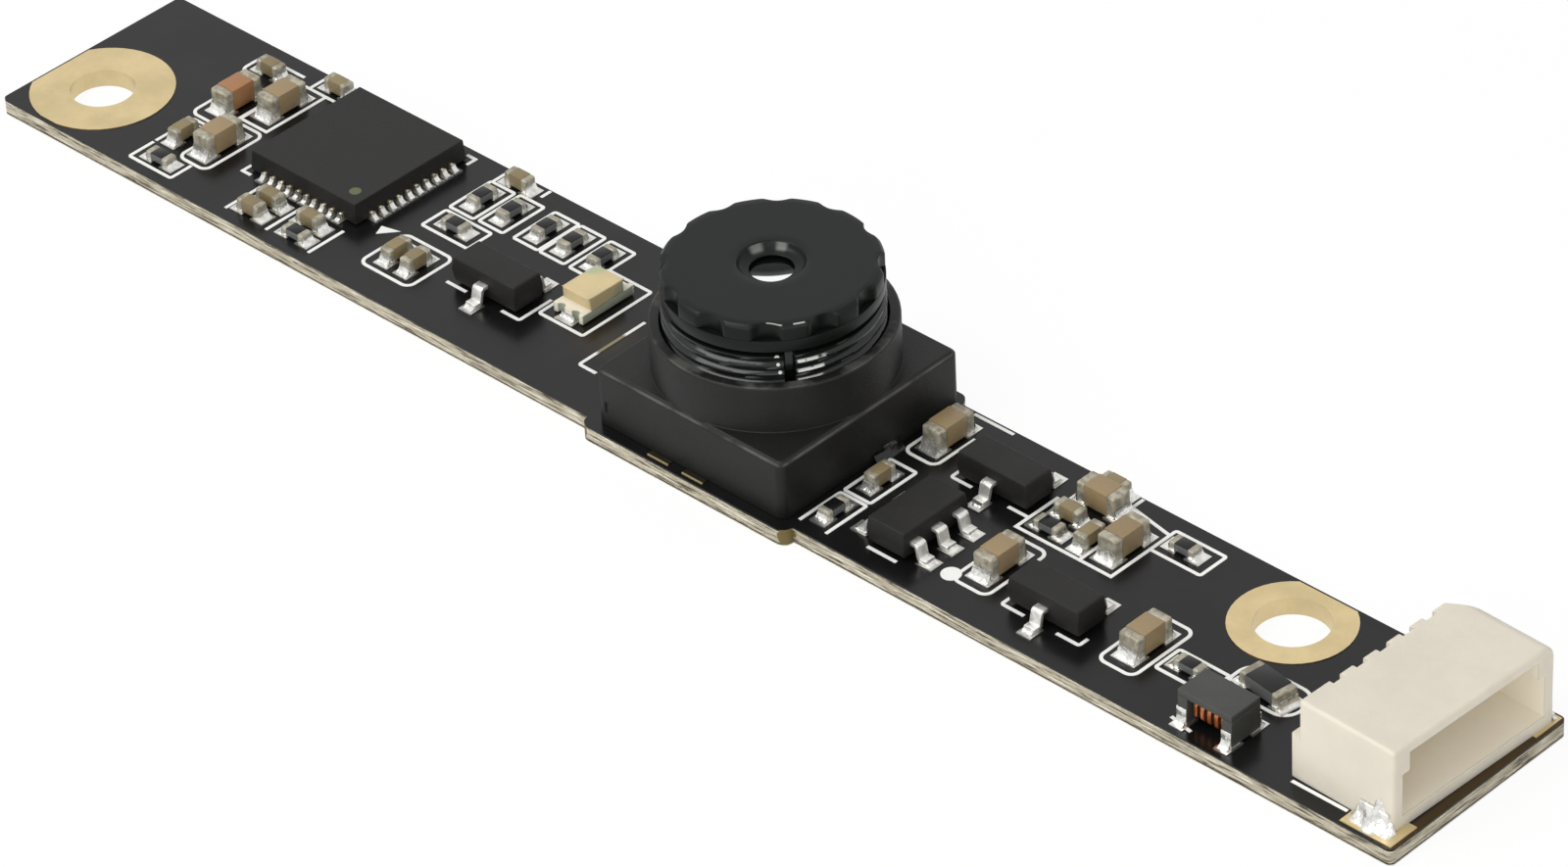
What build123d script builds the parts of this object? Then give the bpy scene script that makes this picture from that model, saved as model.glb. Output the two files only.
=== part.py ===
from build123d import *
import os
from math import asin, cos, degrees, radians, sin

# Strip camera module: a narrow circuit board with a screw-in focus lens, its controller
# and small chips, and a side-entry cable socket. Millimetres, +Z up. The origin is the middle
# of the board's underside, and +X runs towards the cable socket.

# Fibreglass board
board_length = 60.0
board_width = 8.0
board_thickness = 0.6
board_corner = 0.2
shoulder_reach = 0.4
shoulder_margin = 0.4
shoulder_round = 0.35

# Copper lands, white ink and solder
land_thickness = 0.035
land_margin = 0.14
ink_thickness = 0.02
ink_width = 0.12
ink_corner = 0.3
ink_square_corner = 0.08
ink_edge_margin = 0.06
row_edge_margin = 0.42
bracket_margin = 0.2
bracket_arm = 0.4
pin_one_dot_radius = 0.33
arrow_size = 0.7
solder_thickness = 0.02
solder_reach = 0.2
solder_height_share = 0.55
solder_width_share = 0.9

# Plated screw holes
left_hole_radius = 1.1
left_hole_from_end = 2.2
left_hole_y = -1.48
left_ring_radius = 2.45
right_hole_radius = 1.2
right_hole_from_end = 9.0
right_hole_y = 2.25
right_ring_radius = 2.0
plating = 0.02
ring_edge_margin = 0.1

# Lens holder
lens_from_middle = 2.0
holder_size = 8.0
holder_plate_height = 2.1
holder_corner = 0.3
holder_top_bevel = 0.14
holder_room = 6.7
holder_room_height = 1.45
holder_mark_width = 0.12
holder_mark_height = 0.45
holder_mark_depth = 0.06
holder_mark_margin = 0.45
collar_radius = 3.92
collar_rise = 1.65
collar_rim_bevel = 0.06
holder_land_length = 0.88
holder_land_width = 0.24
holder_land_gap = 0.6
holder_land_offset = -0.4

# Screw-in lens
thread_radius = 3.5
thread_clearance = 0.06
thread_lead_in = 0.1
thread_length = 2.6
neck_height = 0.12
neck_radius = 3.25
cap_gap = 1.04
cap_height = 0.97
cap_radius = 3.5
cap_face_radius = 3.38
cap_bevel_height = 0.12
flange_height = 0.42
flute_count = 12
flute_radius = 0.45
flute_depth = 0.24
flute_turn = 10.8
mouth_radius = 1.09
mouth_depth = 0.26
aperture_radius = 0.71
lip_thickness = 0.08
barrel_wall = 0.97
running_gap = 0.03
seat_gap = 0.02

# Glass stack inside the lens, front to back
front_glass_radius = 1.45
front_glass_thickness = 0.75
front_glass_crown = 0.16
stop_thickness = 0.06
stop_opening = 0.55
middle_glass_radius = 1.95
middle_glass_thickness = 0.7
middle_glass_crown = 0.14
spacer_thickness = 0.3
spacer_wall = 0.4
rear_glass_thickness = 0.5
rear_glass_crown = 0.1
filter_thickness = 0.3
retainer_wall = 0.55
retainer_height = 0.4

# Image sensor under the lens
sensor_length = 4.6
sensor_width = 3.6
sensor_thickness = 0.45
cover_thickness = 0.3
cover_margin = 0.12
sensor_ball_radius = 0.12
sensor_ball_height = 0.14
sensor_land_radius = 0.15
sensor_ball_pitch = 0.6
sensor_ball_columns = 7
sensor_ball_rows = 5

# Controller chip: a flat square package with leads on four sides
controller_from_end = 12.05
controller_y = 0.95
front_row_gap = 1.65
controller_size = 5.0
controller_height = 0.75
controller_draft = 4
lead_pitch = 0.4
leads_a_side = 10
lead_width = 0.2
lead_thickness = 0.2
lead_inside = 0.35
lead_outside = 0.08
heat_pad_size = 3.4
heat_pad_thickness = 0.1

# Chip sizes: length, width, height
large_chip = (1.6, 0.8, 0.8)
small_chip = (1.0, 0.5, 0.5)
resistor_chip = (1.0, 0.5, 0.32)
large_cap = 0.36
small_cap = 0.24
cap_wrap = 0.02
chip_round = 0.04
coat_thickness = 0.03

# Moulded three-lead and five-lead parts
mould_length = 2.9
mould_width = 1.3
mould_height = 1.0
mould_draft = 7
mould_standoff = 0.06
wide_mould_width = 1.6
mould_lead_width = 0.42
mould_lead_thickness = 0.13
mould_lead_reach = 0.6
mould_lead_foot = 0.3
mould_lead_slope = 0.1
mould_lead_root = 0.2
mould_lead_pitch = 0.95

# Indicator light
light_from_controller = 8.9
light_y = 0.42
light_length = 2.3
light_width = 1.3
light_base_thickness = 0.3
light_top_height = 0.5
light_top_draft = 18
light_terminal = 0.42
light_notch_radius = 0.16
light_notch_spacing = 0.64
light_plate = 0.04

# Common-mode choke
choke_from_holder = 16.5
choke_y = -2.82
choke_length = 2.1
choke_width = 1.3
choke_height = 1.15
choke_flange = 0.38
choke_plate_thickness = 0.24
choke_core_width = 0.62
choke_core_height = 0.3
choke_wire = 0.14
choke_turns = 5
choke_terminal_thickness = 0.05
choke_terminal_height = 0.55

# Marked chip beside the cable socket
marked_from_holder = 16.6
marked_y = -0.72
marked_turn = -8
marked_chip = (1.75, 0.85, 0.5)
marked_cap = 0.3

# Side-entry cable socket. It stands a little askew on its lands.
socket_gap = 0.33
socket_y = 0.13
socket_skew = -2
socket_width = 7.0
socket_depth = 3.65
socket_height = 2.95
socket_side_wall = 0.7
socket_top_wall = 0.34
socket_floor = 0.42
socket_back_wall = 0.9
socket_foot_step = 0.32
socket_foot_height = 1.55
socket_edge = 0.12
socket_far_edge = 0.5
socket_corner_length = 1.2
socket_corner_width = 0.8
groove_depth = 0.3
groove_top = 1.95
contact_count = 5
contact_pitch = 1.0
contact_width = 0.3
contact_thickness = 0.24
contact_height = 1.2
contact_reach = 1.1
contact_tail = 0.45
contact_bend = 0.16
notch_width = 0.5
notch_depth = 0.22
notch_drop = 0.5
tab_length = 1.1
tab_from_mouth = 0.12
tab_thickness = 0.1
tab_height = 0.6
tab_foot = 0.12
tab_solder_reach = 0.04
tab_land_length = 2.0
tab_land_width = 1.3

# Glue at the holder's foot
glue_length = 1.2
glue_width = 0.3
glue_height = 0.35
glue_y = 0.6

# Runs of board that the small parts are drawn in: controller to holder, and holder to socket
controller_run = 13.45
socket_run = 19.7

# Heights that the pieces share
deck = board_thickness
land_top = deck + land_thickness
chip_seat = land_top + solder_thickness
collar_top = deck + holder_plate_height + collar_rise
cap_bottom = collar_top + cap_gap
cap_top = cap_bottom + cap_height

# Lines along the board that the pieces are set out from
left_end = -board_length / 2
socket_end = board_length / 2
front_edge = -board_width / 2
back_edge = board_width / 2
lens_x = lens_from_middle
holder_left = lens_x - holder_size / 2
holder_right = lens_x + holder_size / 2
controller_x = left_end + controller_from_end
controller_left = controller_x - controller_size / 2
controller_right = controller_x + controller_size / 2
controller_front = controller_y - controller_size / 2
front_row = controller_front - front_row_gap
controller_spread = (holder_left - controller_right) / controller_run
socket_spread = (socket_end - socket_gap - socket_depth - socket_foot_step - holder_right) / socket_run
bore_radius = thread_radius + thread_clearance
lens_axis = Axis((lens_x, 0, 0), (0, 0, 1))
lens_section = Plane(origin=(lens_x, 0, 0), x_dir=(1, 0, 0), z_dir=(0, -1, 0))
standing = (Align.CENTER, Align.CENTER, Align.MIN)


def after_controller(distance):
    return controller_right + controller_spread * distance


def after_holder(distance):
    return holder_right + socket_spread * distance


# Places on the board: X, Y and turn in degrees. Parts between two large ones close up or spread
# out with the run of board that they stand in.
large_capacitor_places = [
    (controller_left - 3.3, 0.9, 90),
    (controller_left - 1.9, 1.65, 90),
    (controller_left - 1.85, -1.25, 90),
    (after_holder(0.95), 2.4, 90),
    (after_holder(6.5), -1.35, 90),
    (after_holder(6.9), 2.9, 0),
    (after_holder(8.75), 1.75, 90),
    (after_holder(12.4), -1.4, 90),
]
small_capacitor_places = [
    (controller_left - 3.65, 2.8, 0),
    (controller_left - 1.1, back_edge - 0.5, 0),
    (controller_left - 3.15, -1.65, 90),
    (controller_x - 0.55, controller_front - 0.9, 0),
    (controller_x + 1.35, controller_front - 0.9, 0),
    (controller_x - 0.65, front_row, 0),
    (after_controller(2.2), -1.85, 90),
    (after_controller(3.1), -1.85, 90),
    (after_controller(2.45), back_edge - 0.5, 0),
    (after_holder(0.85), -0.6, 90),
    (after_holder(6.7), back_edge - 0.33, 0),
    (after_holder(6.55), 1.8, 0),
    (after_holder(7.75), 1.3, 90),
]
upright_resistor_places = [
    (after_controller(2.05), 2.15, 90),
    (after_controller(3.35), 2.2, 90),
    (after_controller(4.9), 2.25, 90),
    (after_controller(6.1), 2.25, 90),
    (after_controller(7.45), 2.25, 90),
]
resistor_places = upright_resistor_places + [
    (controller_left - 2.65, front_edge + 0.9, 0),
    (controller_x + 1.45, front_row, 0),
    (after_controller(2.6), 0.45, 0),
    (after_holder(0.85), -2.65, 90),
    (after_holder(6.45), 0.95, 0),
    (after_holder(10.3), 2.8, 0),
    (after_holder(14.2), -1.45, 0),
]
transistor_places = [
    (after_controller(6.1), -1.1, 0),
    (after_holder(3.95), 1.7, 0),
    (after_holder(9.35), -1.95, 0),
]
regulator_places = [(after_holder(3.45), -1.7, 90)]
light_places = [(after_controller(light_from_controller), light_y, 90)]
choke_places = [(after_holder(choke_from_holder), choke_y, 0)]
marked_places = [(after_holder(marked_from_holder), marked_y, marked_turn)]
controller_spot = (controller_x, controller_y)


def spots(places, height):
    return [Location((x, y, height), (0, 0, turn)) for x, y, turn in places]


def repeated(shape, places, height):
    with BuildPart() as group:
        with Locations(*spots(places, height)):
            add(shape)
    return group


# Board and what is plated on it

middle_length = holder_size + 2 * shoulder_margin
middle_reach = board_width / 2 + shoulder_reach
left_hole = (left_end + left_hole_from_end, left_hole_y)
right_hole = (socket_end - right_hole_from_end, right_hole_y)

with BuildPart() as printed_board:
    with BuildSketch() as outline:
        Rectangle(board_length, board_width)
        fillet(outline.vertices(), board_corner)
        with Locations((lens_x, -middle_reach / 2)):
            Rectangle(middle_length, middle_reach)
        with Locations((lens_x, middle_reach / 2)):
            Rectangle(holder_size, middle_reach)
        shoulders = outline.vertices().group_by(Axis.Y)
        fillet(shoulders[0] + shoulders[-1], shoulder_round)
        with Locations(left_hole):
            Circle(left_hole_radius + plating, mode=Mode.SUBTRACT)
        with Locations(right_hole):
            Circle(right_hole_radius + plating, mode=Mode.SUBTRACT)
    extrude(amount=board_thickness)


def plated_ring(place, hole_radius, ring_radius):
    with BuildPart() as ring:
        with BuildSketch(Plane.XY.offset(deck)):
            with Locations(place):
                Circle(ring_radius)
            Rectangle(
                board_length - 2 * ring_edge_margin,
                board_width - 2 * ring_edge_margin,
                mode=Mode.INTERSECT,
            )
        extrude(amount=land_thickness)
        with BuildSketch():
            with Locations(place):
                Circle(hole_radius + plating)
        extrude(amount=board_thickness)
        with BuildSketch():
            with Locations(place):
                Circle(hole_radius)
        extrude(amount=land_top, mode=Mode.SUBTRACT)
    return ring


left_ring = plated_ring(left_hole, left_hole_radius, left_ring_radius)
right_ring = plated_ring(right_hole, right_hole_radius, right_ring_radius)


# Ceramic chips: bodies, coats, end terminals


def chip_body(size, cap, coat):
    length, width, height = size
    with BuildPart() as body:
        with Locations((0, 0, cap_wrap)):
            Box(length - 2 * cap, width - 2 * cap_wrap, height - 2 * cap_wrap - coat, align=standing)
    return body.part


def chip_coat(size, cap):
    length, width, height = size
    with BuildPart() as coat:
        with Locations((0, 0, height - cap_wrap - coat_thickness)):
            Box(length - 2 * cap, width - 2 * cap_wrap, coat_thickness, align=standing)
    return coat.part


def chip_caps(size, cap):
    length, width, height = size
    with BuildPart() as caps:
        with Locations(((cap - length) / 2, 0, 0), ((length - cap) / 2, 0, 0)):
            Box(cap, width, height, align=standing)
        ends = caps.faces().group_by(Axis.X)
        fillet(ends[0].edges() + ends[-1].edges(), chip_round)
    return caps.part


large_capacitor_bodies = repeated(
    chip_body(large_chip, large_cap, 0), large_capacitor_places, chip_seat
)
large_capacitor_caps = repeated(chip_caps(large_chip, large_cap), large_capacitor_places, chip_seat)
small_capacitor_bodies = repeated(
    chip_body(small_chip, small_cap, 0), small_capacitor_places, chip_seat
)
small_capacitor_caps = repeated(chip_caps(small_chip, small_cap), small_capacitor_places, chip_seat)
resistor_bodies = repeated(
    chip_body(resistor_chip, small_cap, coat_thickness), resistor_places, chip_seat
)
resistor_coats = repeated(chip_coat(resistor_chip, small_cap), resistor_places, chip_seat)
resistor_caps = repeated(chip_caps(resistor_chip, small_cap), resistor_places, chip_seat)
marked_chip_body = repeated(
    chip_body(marked_chip, marked_cap, coat_thickness), marked_places, chip_seat
)
marked_chip_coat = repeated(chip_coat(marked_chip, marked_cap), marked_places, chip_seat)
marked_chip_caps = repeated(chip_caps(marked_chip, marked_cap), marked_places, chip_seat)


# Moulded three-lead and five-lead parts, made with their length along X

mould_half = (mould_height - mould_standoff) / 2
mould_middle = mould_standoff + mould_half


def mould_leads(width, front, back):
    foot = mould_lead_thickness / 2
    bend = width / 2 + mould_lead_reach - mould_lead_foot
    with BuildPart() as leads:
        for side, places in ((-1, front), (1, back)):
            for x in places:
                with BuildSketch(Plane(origin=(x, 0, 0), x_dir=(0, side, 0), z_dir=(side, 0, 0))):
                    with BuildLine():
                        FilletPolyline(
                            (width / 2 - mould_lead_root, mould_middle),
                            (bend - mould_lead_slope, mould_middle),
                            (bend, foot),
                            (width / 2 + mould_lead_reach, foot),
                            radius=0.6 * mould_lead_thickness,
                        )
                    trace(line_width=mould_lead_thickness)
                extrude(amount=mould_lead_width / 2, both=True)
    return leads.part


def mould_body(width, leads):
    with BuildPart() as body:
        for turn in (0, 180):
            with BuildSketch(Plane.XY.offset(mould_middle).rotated((turn, 0, 0))):
                Rectangle(mould_length, width)
            extrude(amount=mould_half, taper=mould_draft)
        add(leads, mode=Mode.SUBTRACT)
    return body.part


one_lead = [0]
two_leads = [-mould_lead_pitch, mould_lead_pitch]
three_leads = [-mould_lead_pitch, 0, mould_lead_pitch]
transistor_lead_shape = mould_leads(mould_width, one_lead, two_leads)
transistor_body_shape = mould_body(mould_width, transistor_lead_shape)
regulator_lead_shape = mould_leads(wide_mould_width, three_leads, two_leads)
regulator_body_shape = mould_body(wide_mould_width, regulator_lead_shape)

transistor_bodies = [repeated(transistor_body_shape, [at], chip_seat) for at in transistor_places]
transistor_leads = [repeated(transistor_lead_shape, [at], chip_seat) for at in transistor_places]
regulator_body = repeated(regulator_body_shape, regulator_places, chip_seat)
regulator_leads = repeated(regulator_lead_shape, regulator_places, chip_seat)


# Indicator light, made with its length along X

light_notches = [
    (side_x * light_length / 2, side_y * light_notch_spacing / 2)
    for side_x in (-1, 1)
    for side_y in (-1, 1)
]

with BuildPart() as light_terminal_shape:
    shelf = light_terminal - light_plate
    for side in (-1, 1):
        with Locations((side * (light_length - light_plate) / 2, 0, 0)):
            Box(light_plate, light_width, light_base_thickness + light_plate, align=standing)
        with Locations((side * (light_length / 2 - light_plate - shelf / 2), 0, light_base_thickness)):
            Box(shelf, light_width, light_plate, align=standing)
    with BuildSketch():
        with Locations(*light_notches):
            Circle(light_notch_radius)
    extrude(amount=light_base_thickness + light_plate, mode=Mode.SUBTRACT)

with BuildPart() as light_base_shape:
    with BuildSketch():
        Rectangle(light_length - 2 * light_plate, light_width)
        with Locations(*light_notches):
            Circle(light_notch_radius, mode=Mode.SUBTRACT)
    extrude(amount=light_base_thickness)

with BuildPart() as light_top_shape:
    with BuildSketch(Plane.XY.offset(light_base_thickness)):
        Rectangle(light_length - 2 * light_terminal, light_width)
    extrude(amount=light_top_height, taper=light_top_draft)
    fillet(light_top_shape.faces().sort_by(Axis.Z)[-1].edges(), light_plate)

light_base = repeated(light_base_shape.part, light_places, chip_seat)
light_top = repeated(light_top_shape.part, light_places, chip_seat)
light_terminals = repeated(light_terminal_shape.part, light_places, chip_seat)


# Common-mode choke: a wound ferrite drum under a flat plate

drum_height = choke_height - choke_plate_thickness
choke_window = choke_length - 2 * choke_flange
choke_core_middle = drum_height / 2

with BuildPart() as drum_shape:
    for side in (-1, 1):
        with Locations((side * (choke_length - choke_flange) / 2, 0, 0)):
            Box(choke_flange, choke_width, drum_height, align=standing)
    with Locations((0, 0, choke_core_middle)):
        Box(choke_window, choke_core_width, choke_core_height)

with BuildPart() as choke_plate_shape:
    with Locations((0, 0, drum_height)):
        Box(choke_length, choke_width, choke_plate_thickness, align=standing)
    fillet(choke_plate_shape.edges().filter_by(Axis.Z), chip_round)

with BuildPart() as winding_shape:
    turn_pitch = choke_window / choke_turns
    for turn in range(choke_turns):
        turn_x = turn_pitch * (turn + 0.5) - choke_window / 2
        with BuildSketch(Plane.YZ.offset(turn_x)):
            with Locations((0, choke_core_middle)):
                RectangleRounded(
                    choke_core_width + 2 * choke_wire, choke_core_height + 2 * choke_wire, choke_wire
                )
                Rectangle(choke_core_width, choke_core_height, mode=Mode.SUBTRACT)
        extrude(amount=choke_wire / 2, both=True)

with BuildPart() as choke_terminal_shape:
    for side_x in (-1, 1):
        for side_y in (-1, 1):
            terminal_x = side_x * (choke_length - choke_flange) / 2
            terminal_y = side_y * (choke_width + choke_terminal_thickness) / 2
            with Locations((terminal_x, terminal_y, 0)):
                Box(choke_flange, choke_terminal_thickness, choke_terminal_height, align=standing)

choke_drum = repeated(drum_shape.part, choke_places, chip_seat)
choke_plate = repeated(choke_plate_shape.part, choke_places, chip_seat)
choke_winding = repeated(winding_shape.part, choke_places, chip_seat)
choke_terminals = repeated(choke_terminal_shape.part, choke_places, chip_seat)


# Controller chip

lead_length = lead_inside + lead_outside
lead_middle = controller_size / 2 + (lead_outside - lead_inside) / 2


def controller_lead_places():
    first = -(leads_a_side - 1) * lead_pitch / 2
    places = []
    for number in range(leads_a_side):
        along = first + number * lead_pitch
        places += [
            (controller_x + lead_middle, controller_y + along, 0),
            (controller_x - lead_middle, controller_y + along, 180),
            (controller_x + along, controller_y + lead_middle, 90),
            (controller_x + along, controller_y - lead_middle, -90),
        ]
    return places


with BuildPart() as lead_shape:
    Box(lead_length, lead_width, lead_thickness, align=standing)

controller_leads = repeated(lead_shape.part, controller_lead_places(), chip_seat)

with BuildPart() as controller_heat_pad:
    with BuildSketch(Plane.XY.offset(land_top)):
        with Locations(controller_spot):
            Rectangle(heat_pad_size, heat_pad_size)
    extrude(amount=solder_thickness + heat_pad_thickness)

with BuildPart() as controller_body:
    with BuildSketch(Plane.XY.offset(chip_seat)):
        with Locations(controller_spot):
            Rectangle(controller_size, controller_size)
    extrude(amount=controller_height, taper=controller_draft)
    add(controller_leads.part, mode=Mode.SUBTRACT)
    add(controller_heat_pad.part, mode=Mode.SUBTRACT)


# Lens holder and its glue

plate_top = deck + holder_plate_height

with BuildPart() as lens_holder:
    with BuildSketch(Plane.XY.offset(deck)):
        with Locations((lens_x, 0)):
            RectangleRounded(holder_size, holder_size, holder_corner)
    extrude(amount=holder_plate_height)
    chamfer(lens_holder.faces().sort_by(Axis.Z)[-1].edges(), holder_top_bevel)
    with BuildSketch(Plane.XY.offset(deck + holder_room_height)):
        with Locations((lens_x, 0)):
            Circle(collar_radius)
    extrude(amount=collar_top - deck - holder_room_height)
    chamfer(lens_holder.faces().sort_by(Axis.Z)[-1].edges(), collar_rim_bevel)
    with BuildSketch(Plane.XY.offset(deck)):
        with Locations((lens_x, 0)):
            RectangleRounded(holder_room, holder_room, holder_corner)
    extrude(amount=holder_room_height, mode=Mode.SUBTRACT)
    with BuildSketch(Plane.XY.offset(deck)):
        with Locations((lens_x, 0)):
            Circle(bore_radius)
    extrude(amount=collar_top - deck, mode=Mode.SUBTRACT)
    with Locations((holder_left + holder_mark_margin, -holder_size / 2, deck + holder_plate_height / 3)):
        Box(holder_mark_width, 2 * holder_mark_depth, holder_mark_height, mode=Mode.SUBTRACT)

with BuildPart() as holder_glue:
    with BuildSketch(Plane.XZ.offset(-glue_y)):
        with BuildLine():
            Polyline(
                (holder_right, deck + glue_height),
                (holder_right, deck),
                (holder_right + glue_width, deck),
            )
            ThreePointArc(
                (holder_right + glue_width, deck),
                (holder_right + 0.38 * glue_width, deck + 0.38 * glue_height),
                (holder_right, deck + glue_height),
            )
        make_face()
    extrude(amount=glue_length / 2, both=True)


# Image sensor on its solder balls

ball_top = land_top + sensor_ball_height

with BuildPart() as sensor_solder_balls:
    with BuildSketch(Plane.XY.offset(land_top)):
        with Locations((lens_x, 0)):
            with GridLocations(
                sensor_ball_pitch, sensor_ball_pitch, sensor_ball_columns, sensor_ball_rows
            ):
                Circle(sensor_ball_radius)
    extrude(amount=sensor_ball_height)

with BuildPart() as image_sensor:
    with BuildSketch(Plane.XY.offset(ball_top)):
        with Locations((lens_x, 0)):
            Rectangle(sensor_length, sensor_width)
    extrude(amount=sensor_thickness)

with BuildPart() as sensor_cover_glass:
    with BuildSketch(Plane.XY.offset(ball_top + sensor_thickness)):
        with Locations((lens_x, 0)):
            Rectangle(sensor_length - 2 * cover_margin, sensor_width - 2 * cover_margin)
    extrude(amount=cover_thickness)


# Screw-in lens: the barrel, then its glass stack from the front to the back

front_seat = cap_top - mouth_depth - lip_thickness
front_glass_top = front_seat - seat_gap
front_glass_low = front_glass_top - front_glass_thickness
stop_low = front_glass_low - stop_thickness
middle_glass_low = stop_low - middle_glass_thickness
spacer_low = middle_glass_low - spacer_thickness
rear_glass_low = spacer_low - rear_glass_thickness
filter_low = rear_glass_low - filter_thickness
retainer_top = filter_low - seat_gap
neck_low = cap_bottom - neck_height
thread_low = neck_low - thread_length
front_bore = front_glass_radius + running_gap
middle_bore = middle_glass_radius + running_gap
rear_bore = thread_radius - barrel_wall

with BuildPart() as lens_barrel:
    with BuildSketch(lens_section):
        with BuildLine():
            Polyline(
                (0, thread_low),
                (thread_radius - thread_lead_in, thread_low),
                (thread_radius, thread_low + thread_lead_in),
                (thread_radius, neck_low),
                (neck_radius, neck_low),
                (neck_radius, cap_bottom),
                (cap_radius, cap_bottom),
                (cap_radius, cap_top - cap_bevel_height),
                (cap_face_radius, cap_top),
                (0, cap_top),
                close=True,
            )
        make_face()
    revolve(axis=lens_axis)
    with BuildSketch(Plane.XY.offset(cap_bottom + flange_height)):
        with Locations((lens_x, 0)):
            with PolarLocations(
                cap_radius - flute_depth + flute_radius, flute_count, start_angle=flute_turn
            ):
                Circle(flute_radius)
    extrude(amount=cap_height - flange_height, mode=Mode.SUBTRACT)
    with BuildSketch(lens_section):
        with BuildLine():
            Polyline(
                (0, cap_top),
                (mouth_radius, cap_top),
                (aperture_radius, cap_top - mouth_depth),
                (aperture_radius, front_seat),
                (front_bore, front_seat),
                (front_bore, front_glass_low + seat_gap),
                (middle_bore, front_glass_low + seat_gap),
                (middle_bore, spacer_low + seat_gap),
                (rear_bore, spacer_low + seat_gap),
                (rear_bore, thread_low),
                (0, thread_low),
                close=True,
            )
        make_face()
    revolve(axis=lens_axis, mode=Mode.SUBTRACT)


def turned_ring(outer, inner, low, high):
    with BuildPart() as ring:
        with BuildSketch(Plane.XY.offset(low)):
            with Locations((lens_x, 0)):
                Circle(outer)
                if inner:
                    Circle(inner, mode=Mode.SUBTRACT)
        extrude(amount=high - low)
    return ring


def turned_glass(radius, low, high, crown):
    curve = (radius**2 + crown**2) / (2 * crown)
    sweep_angle = degrees(asin(radius / curve))
    with BuildPart() as glass:
        with BuildSketch(lens_section):
            with BuildLine():
                Line((0, low + crown), (0, high))
                CenterArc((0, high - curve), curve, 90, -sweep_angle)
                Line((radius, high - crown), (radius, low))
                CenterArc((0, low + crown - curve), curve, 90 - sweep_angle, sweep_angle)
            make_face()
        revolve(axis=lens_axis)
    return glass


rear_glass_radius = rear_bore - running_gap
front_glass = turned_glass(front_glass_radius, front_glass_low, front_glass_top, front_glass_crown)
aperture_stop = turned_ring(middle_glass_radius, stop_opening, stop_low, front_glass_low)
middle_glass = turned_glass(middle_glass_radius, middle_glass_low, stop_low, middle_glass_crown)
spacer_ring = turned_ring(
    middle_glass_radius, middle_glass_radius - spacer_wall, spacer_low, middle_glass_low
)
rear_glass = turned_glass(rear_glass_radius, rear_glass_low, spacer_low, rear_glass_crown)
infrared_filter = turned_ring(rear_glass_radius, 0, filter_low, rear_glass_low)
retaining_ring = turned_ring(
    rear_bore, rear_bore - retainer_wall, retainer_top - retainer_height, retainer_top
)


# Side-entry cable socket. Its own X runs out of the mouth, and its origin is on the board.

socket_plane = Plane(
    origin=(socket_end - socket_gap, socket_y, deck),
    x_dir=(cos(radians(socket_skew)), sin(radians(socket_skew)), 0),
)
socket_back = -socket_depth
cavity_back = socket_back + socket_back_wall
foot_back = socket_back - socket_foot_step
contact_drop = foot_back - contact_thickness
contact_foot = land_thickness + solder_thickness + contact_thickness / 2
first_contact = -(contact_count - 1) * contact_pitch / 2
contact_rows = [first_contact + number * contact_pitch for number in range(contact_count)]


def across_socket(y):
    origin = socket_plane.from_local_coords((0, y, 0))
    return Plane(origin=origin, x_dir=socket_plane.x_dir, z_dir=-socket_plane.y_dir)


with BuildPart() as socket_contacts:
    for row in contact_rows:
        with BuildSketch(across_socket(row)):
            with BuildLine():
                FilletPolyline(
                    (cavity_back + contact_reach, contact_height),
                    (contact_drop, contact_height),
                    (contact_drop, contact_foot),
                    (contact_drop - contact_tail, contact_foot),
                    radius=contact_bend,
                )
            trace(line_width=contact_thickness)
        extrude(amount=contact_width / 2, both=True)

with BuildPart() as socket_housing:
    with BuildSketch(across_socket(0)):
        with BuildLine():
            Polyline(
                (0, 0),
                (foot_back, 0),
                (foot_back, socket_foot_height),
                (socket_back, socket_foot_height),
                (socket_back, socket_height),
                (0, socket_height),
                close=True,
            )
        make_face()
    extrude(amount=socket_width / 2, both=True)
    far_edge = socket_housing.faces().sort_by(Axis.Z)[-1].edges().sort_by(Axis.Y)[-1]
    fillet(far_edge, socket_far_edge)
    top_edges = socket_housing.faces().sort_by(Axis.Z)[-1].edges().sort_by(Axis.Y)[:-1]
    sides = socket_housing.edges().filter_by(Axis.Z)
    fillet(top_edges + sides, socket_edge)
    with BuildSketch(across_socket(0)):
        with BuildLine():
            Polyline(
                (0, socket_floor),
                (cavity_back, socket_floor),
                (cavity_back, socket_height - socket_top_wall),
                (0, socket_height - socket_top_wall),
                close=True,
            )
        make_face()
    extrude(amount=socket_width / 2 - socket_side_wall, both=True, mode=Mode.SUBTRACT)
    with BuildSketch(across_socket(0)):
        with BuildLine():
            Polyline(
                (0, socket_floor),
                (cavity_back, socket_floor),
                (cavity_back, groove_top),
                (0, groove_top),
                close=True,
            )
        make_face()
    extrude(amount=socket_width / 2 - socket_side_wall + groove_depth, both=True, mode=Mode.SUBTRACT)
    for row in contact_rows:
        with BuildSketch(across_socket(row)):
            with BuildLine():
                Polyline(
                    (socket_back, socket_height),
                    (socket_back + notch_depth, socket_height),
                    (socket_back, socket_height - notch_drop),
                    close=True,
                )
            make_face()
        extrude(amount=notch_width / 2, both=True, mode=Mode.SUBTRACT)
    with BuildSketch(socket_plane.offset(socket_foot_height)):
        with BuildLine():
            Polyline(
                (socket_back - socket_corner_length, socket_width / 2 - 2 * socket_corner_width),
                (socket_back + 2 * socket_corner_length, socket_width / 2 + socket_corner_width),
                (socket_back - socket_corner_length, socket_width / 2 + socket_corner_width),
                close=True,
            )
        make_face()
    extrude(amount=socket_height, mode=Mode.SUBTRACT)
    add(socket_contacts.part, mode=Mode.SUBTRACT)

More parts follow.
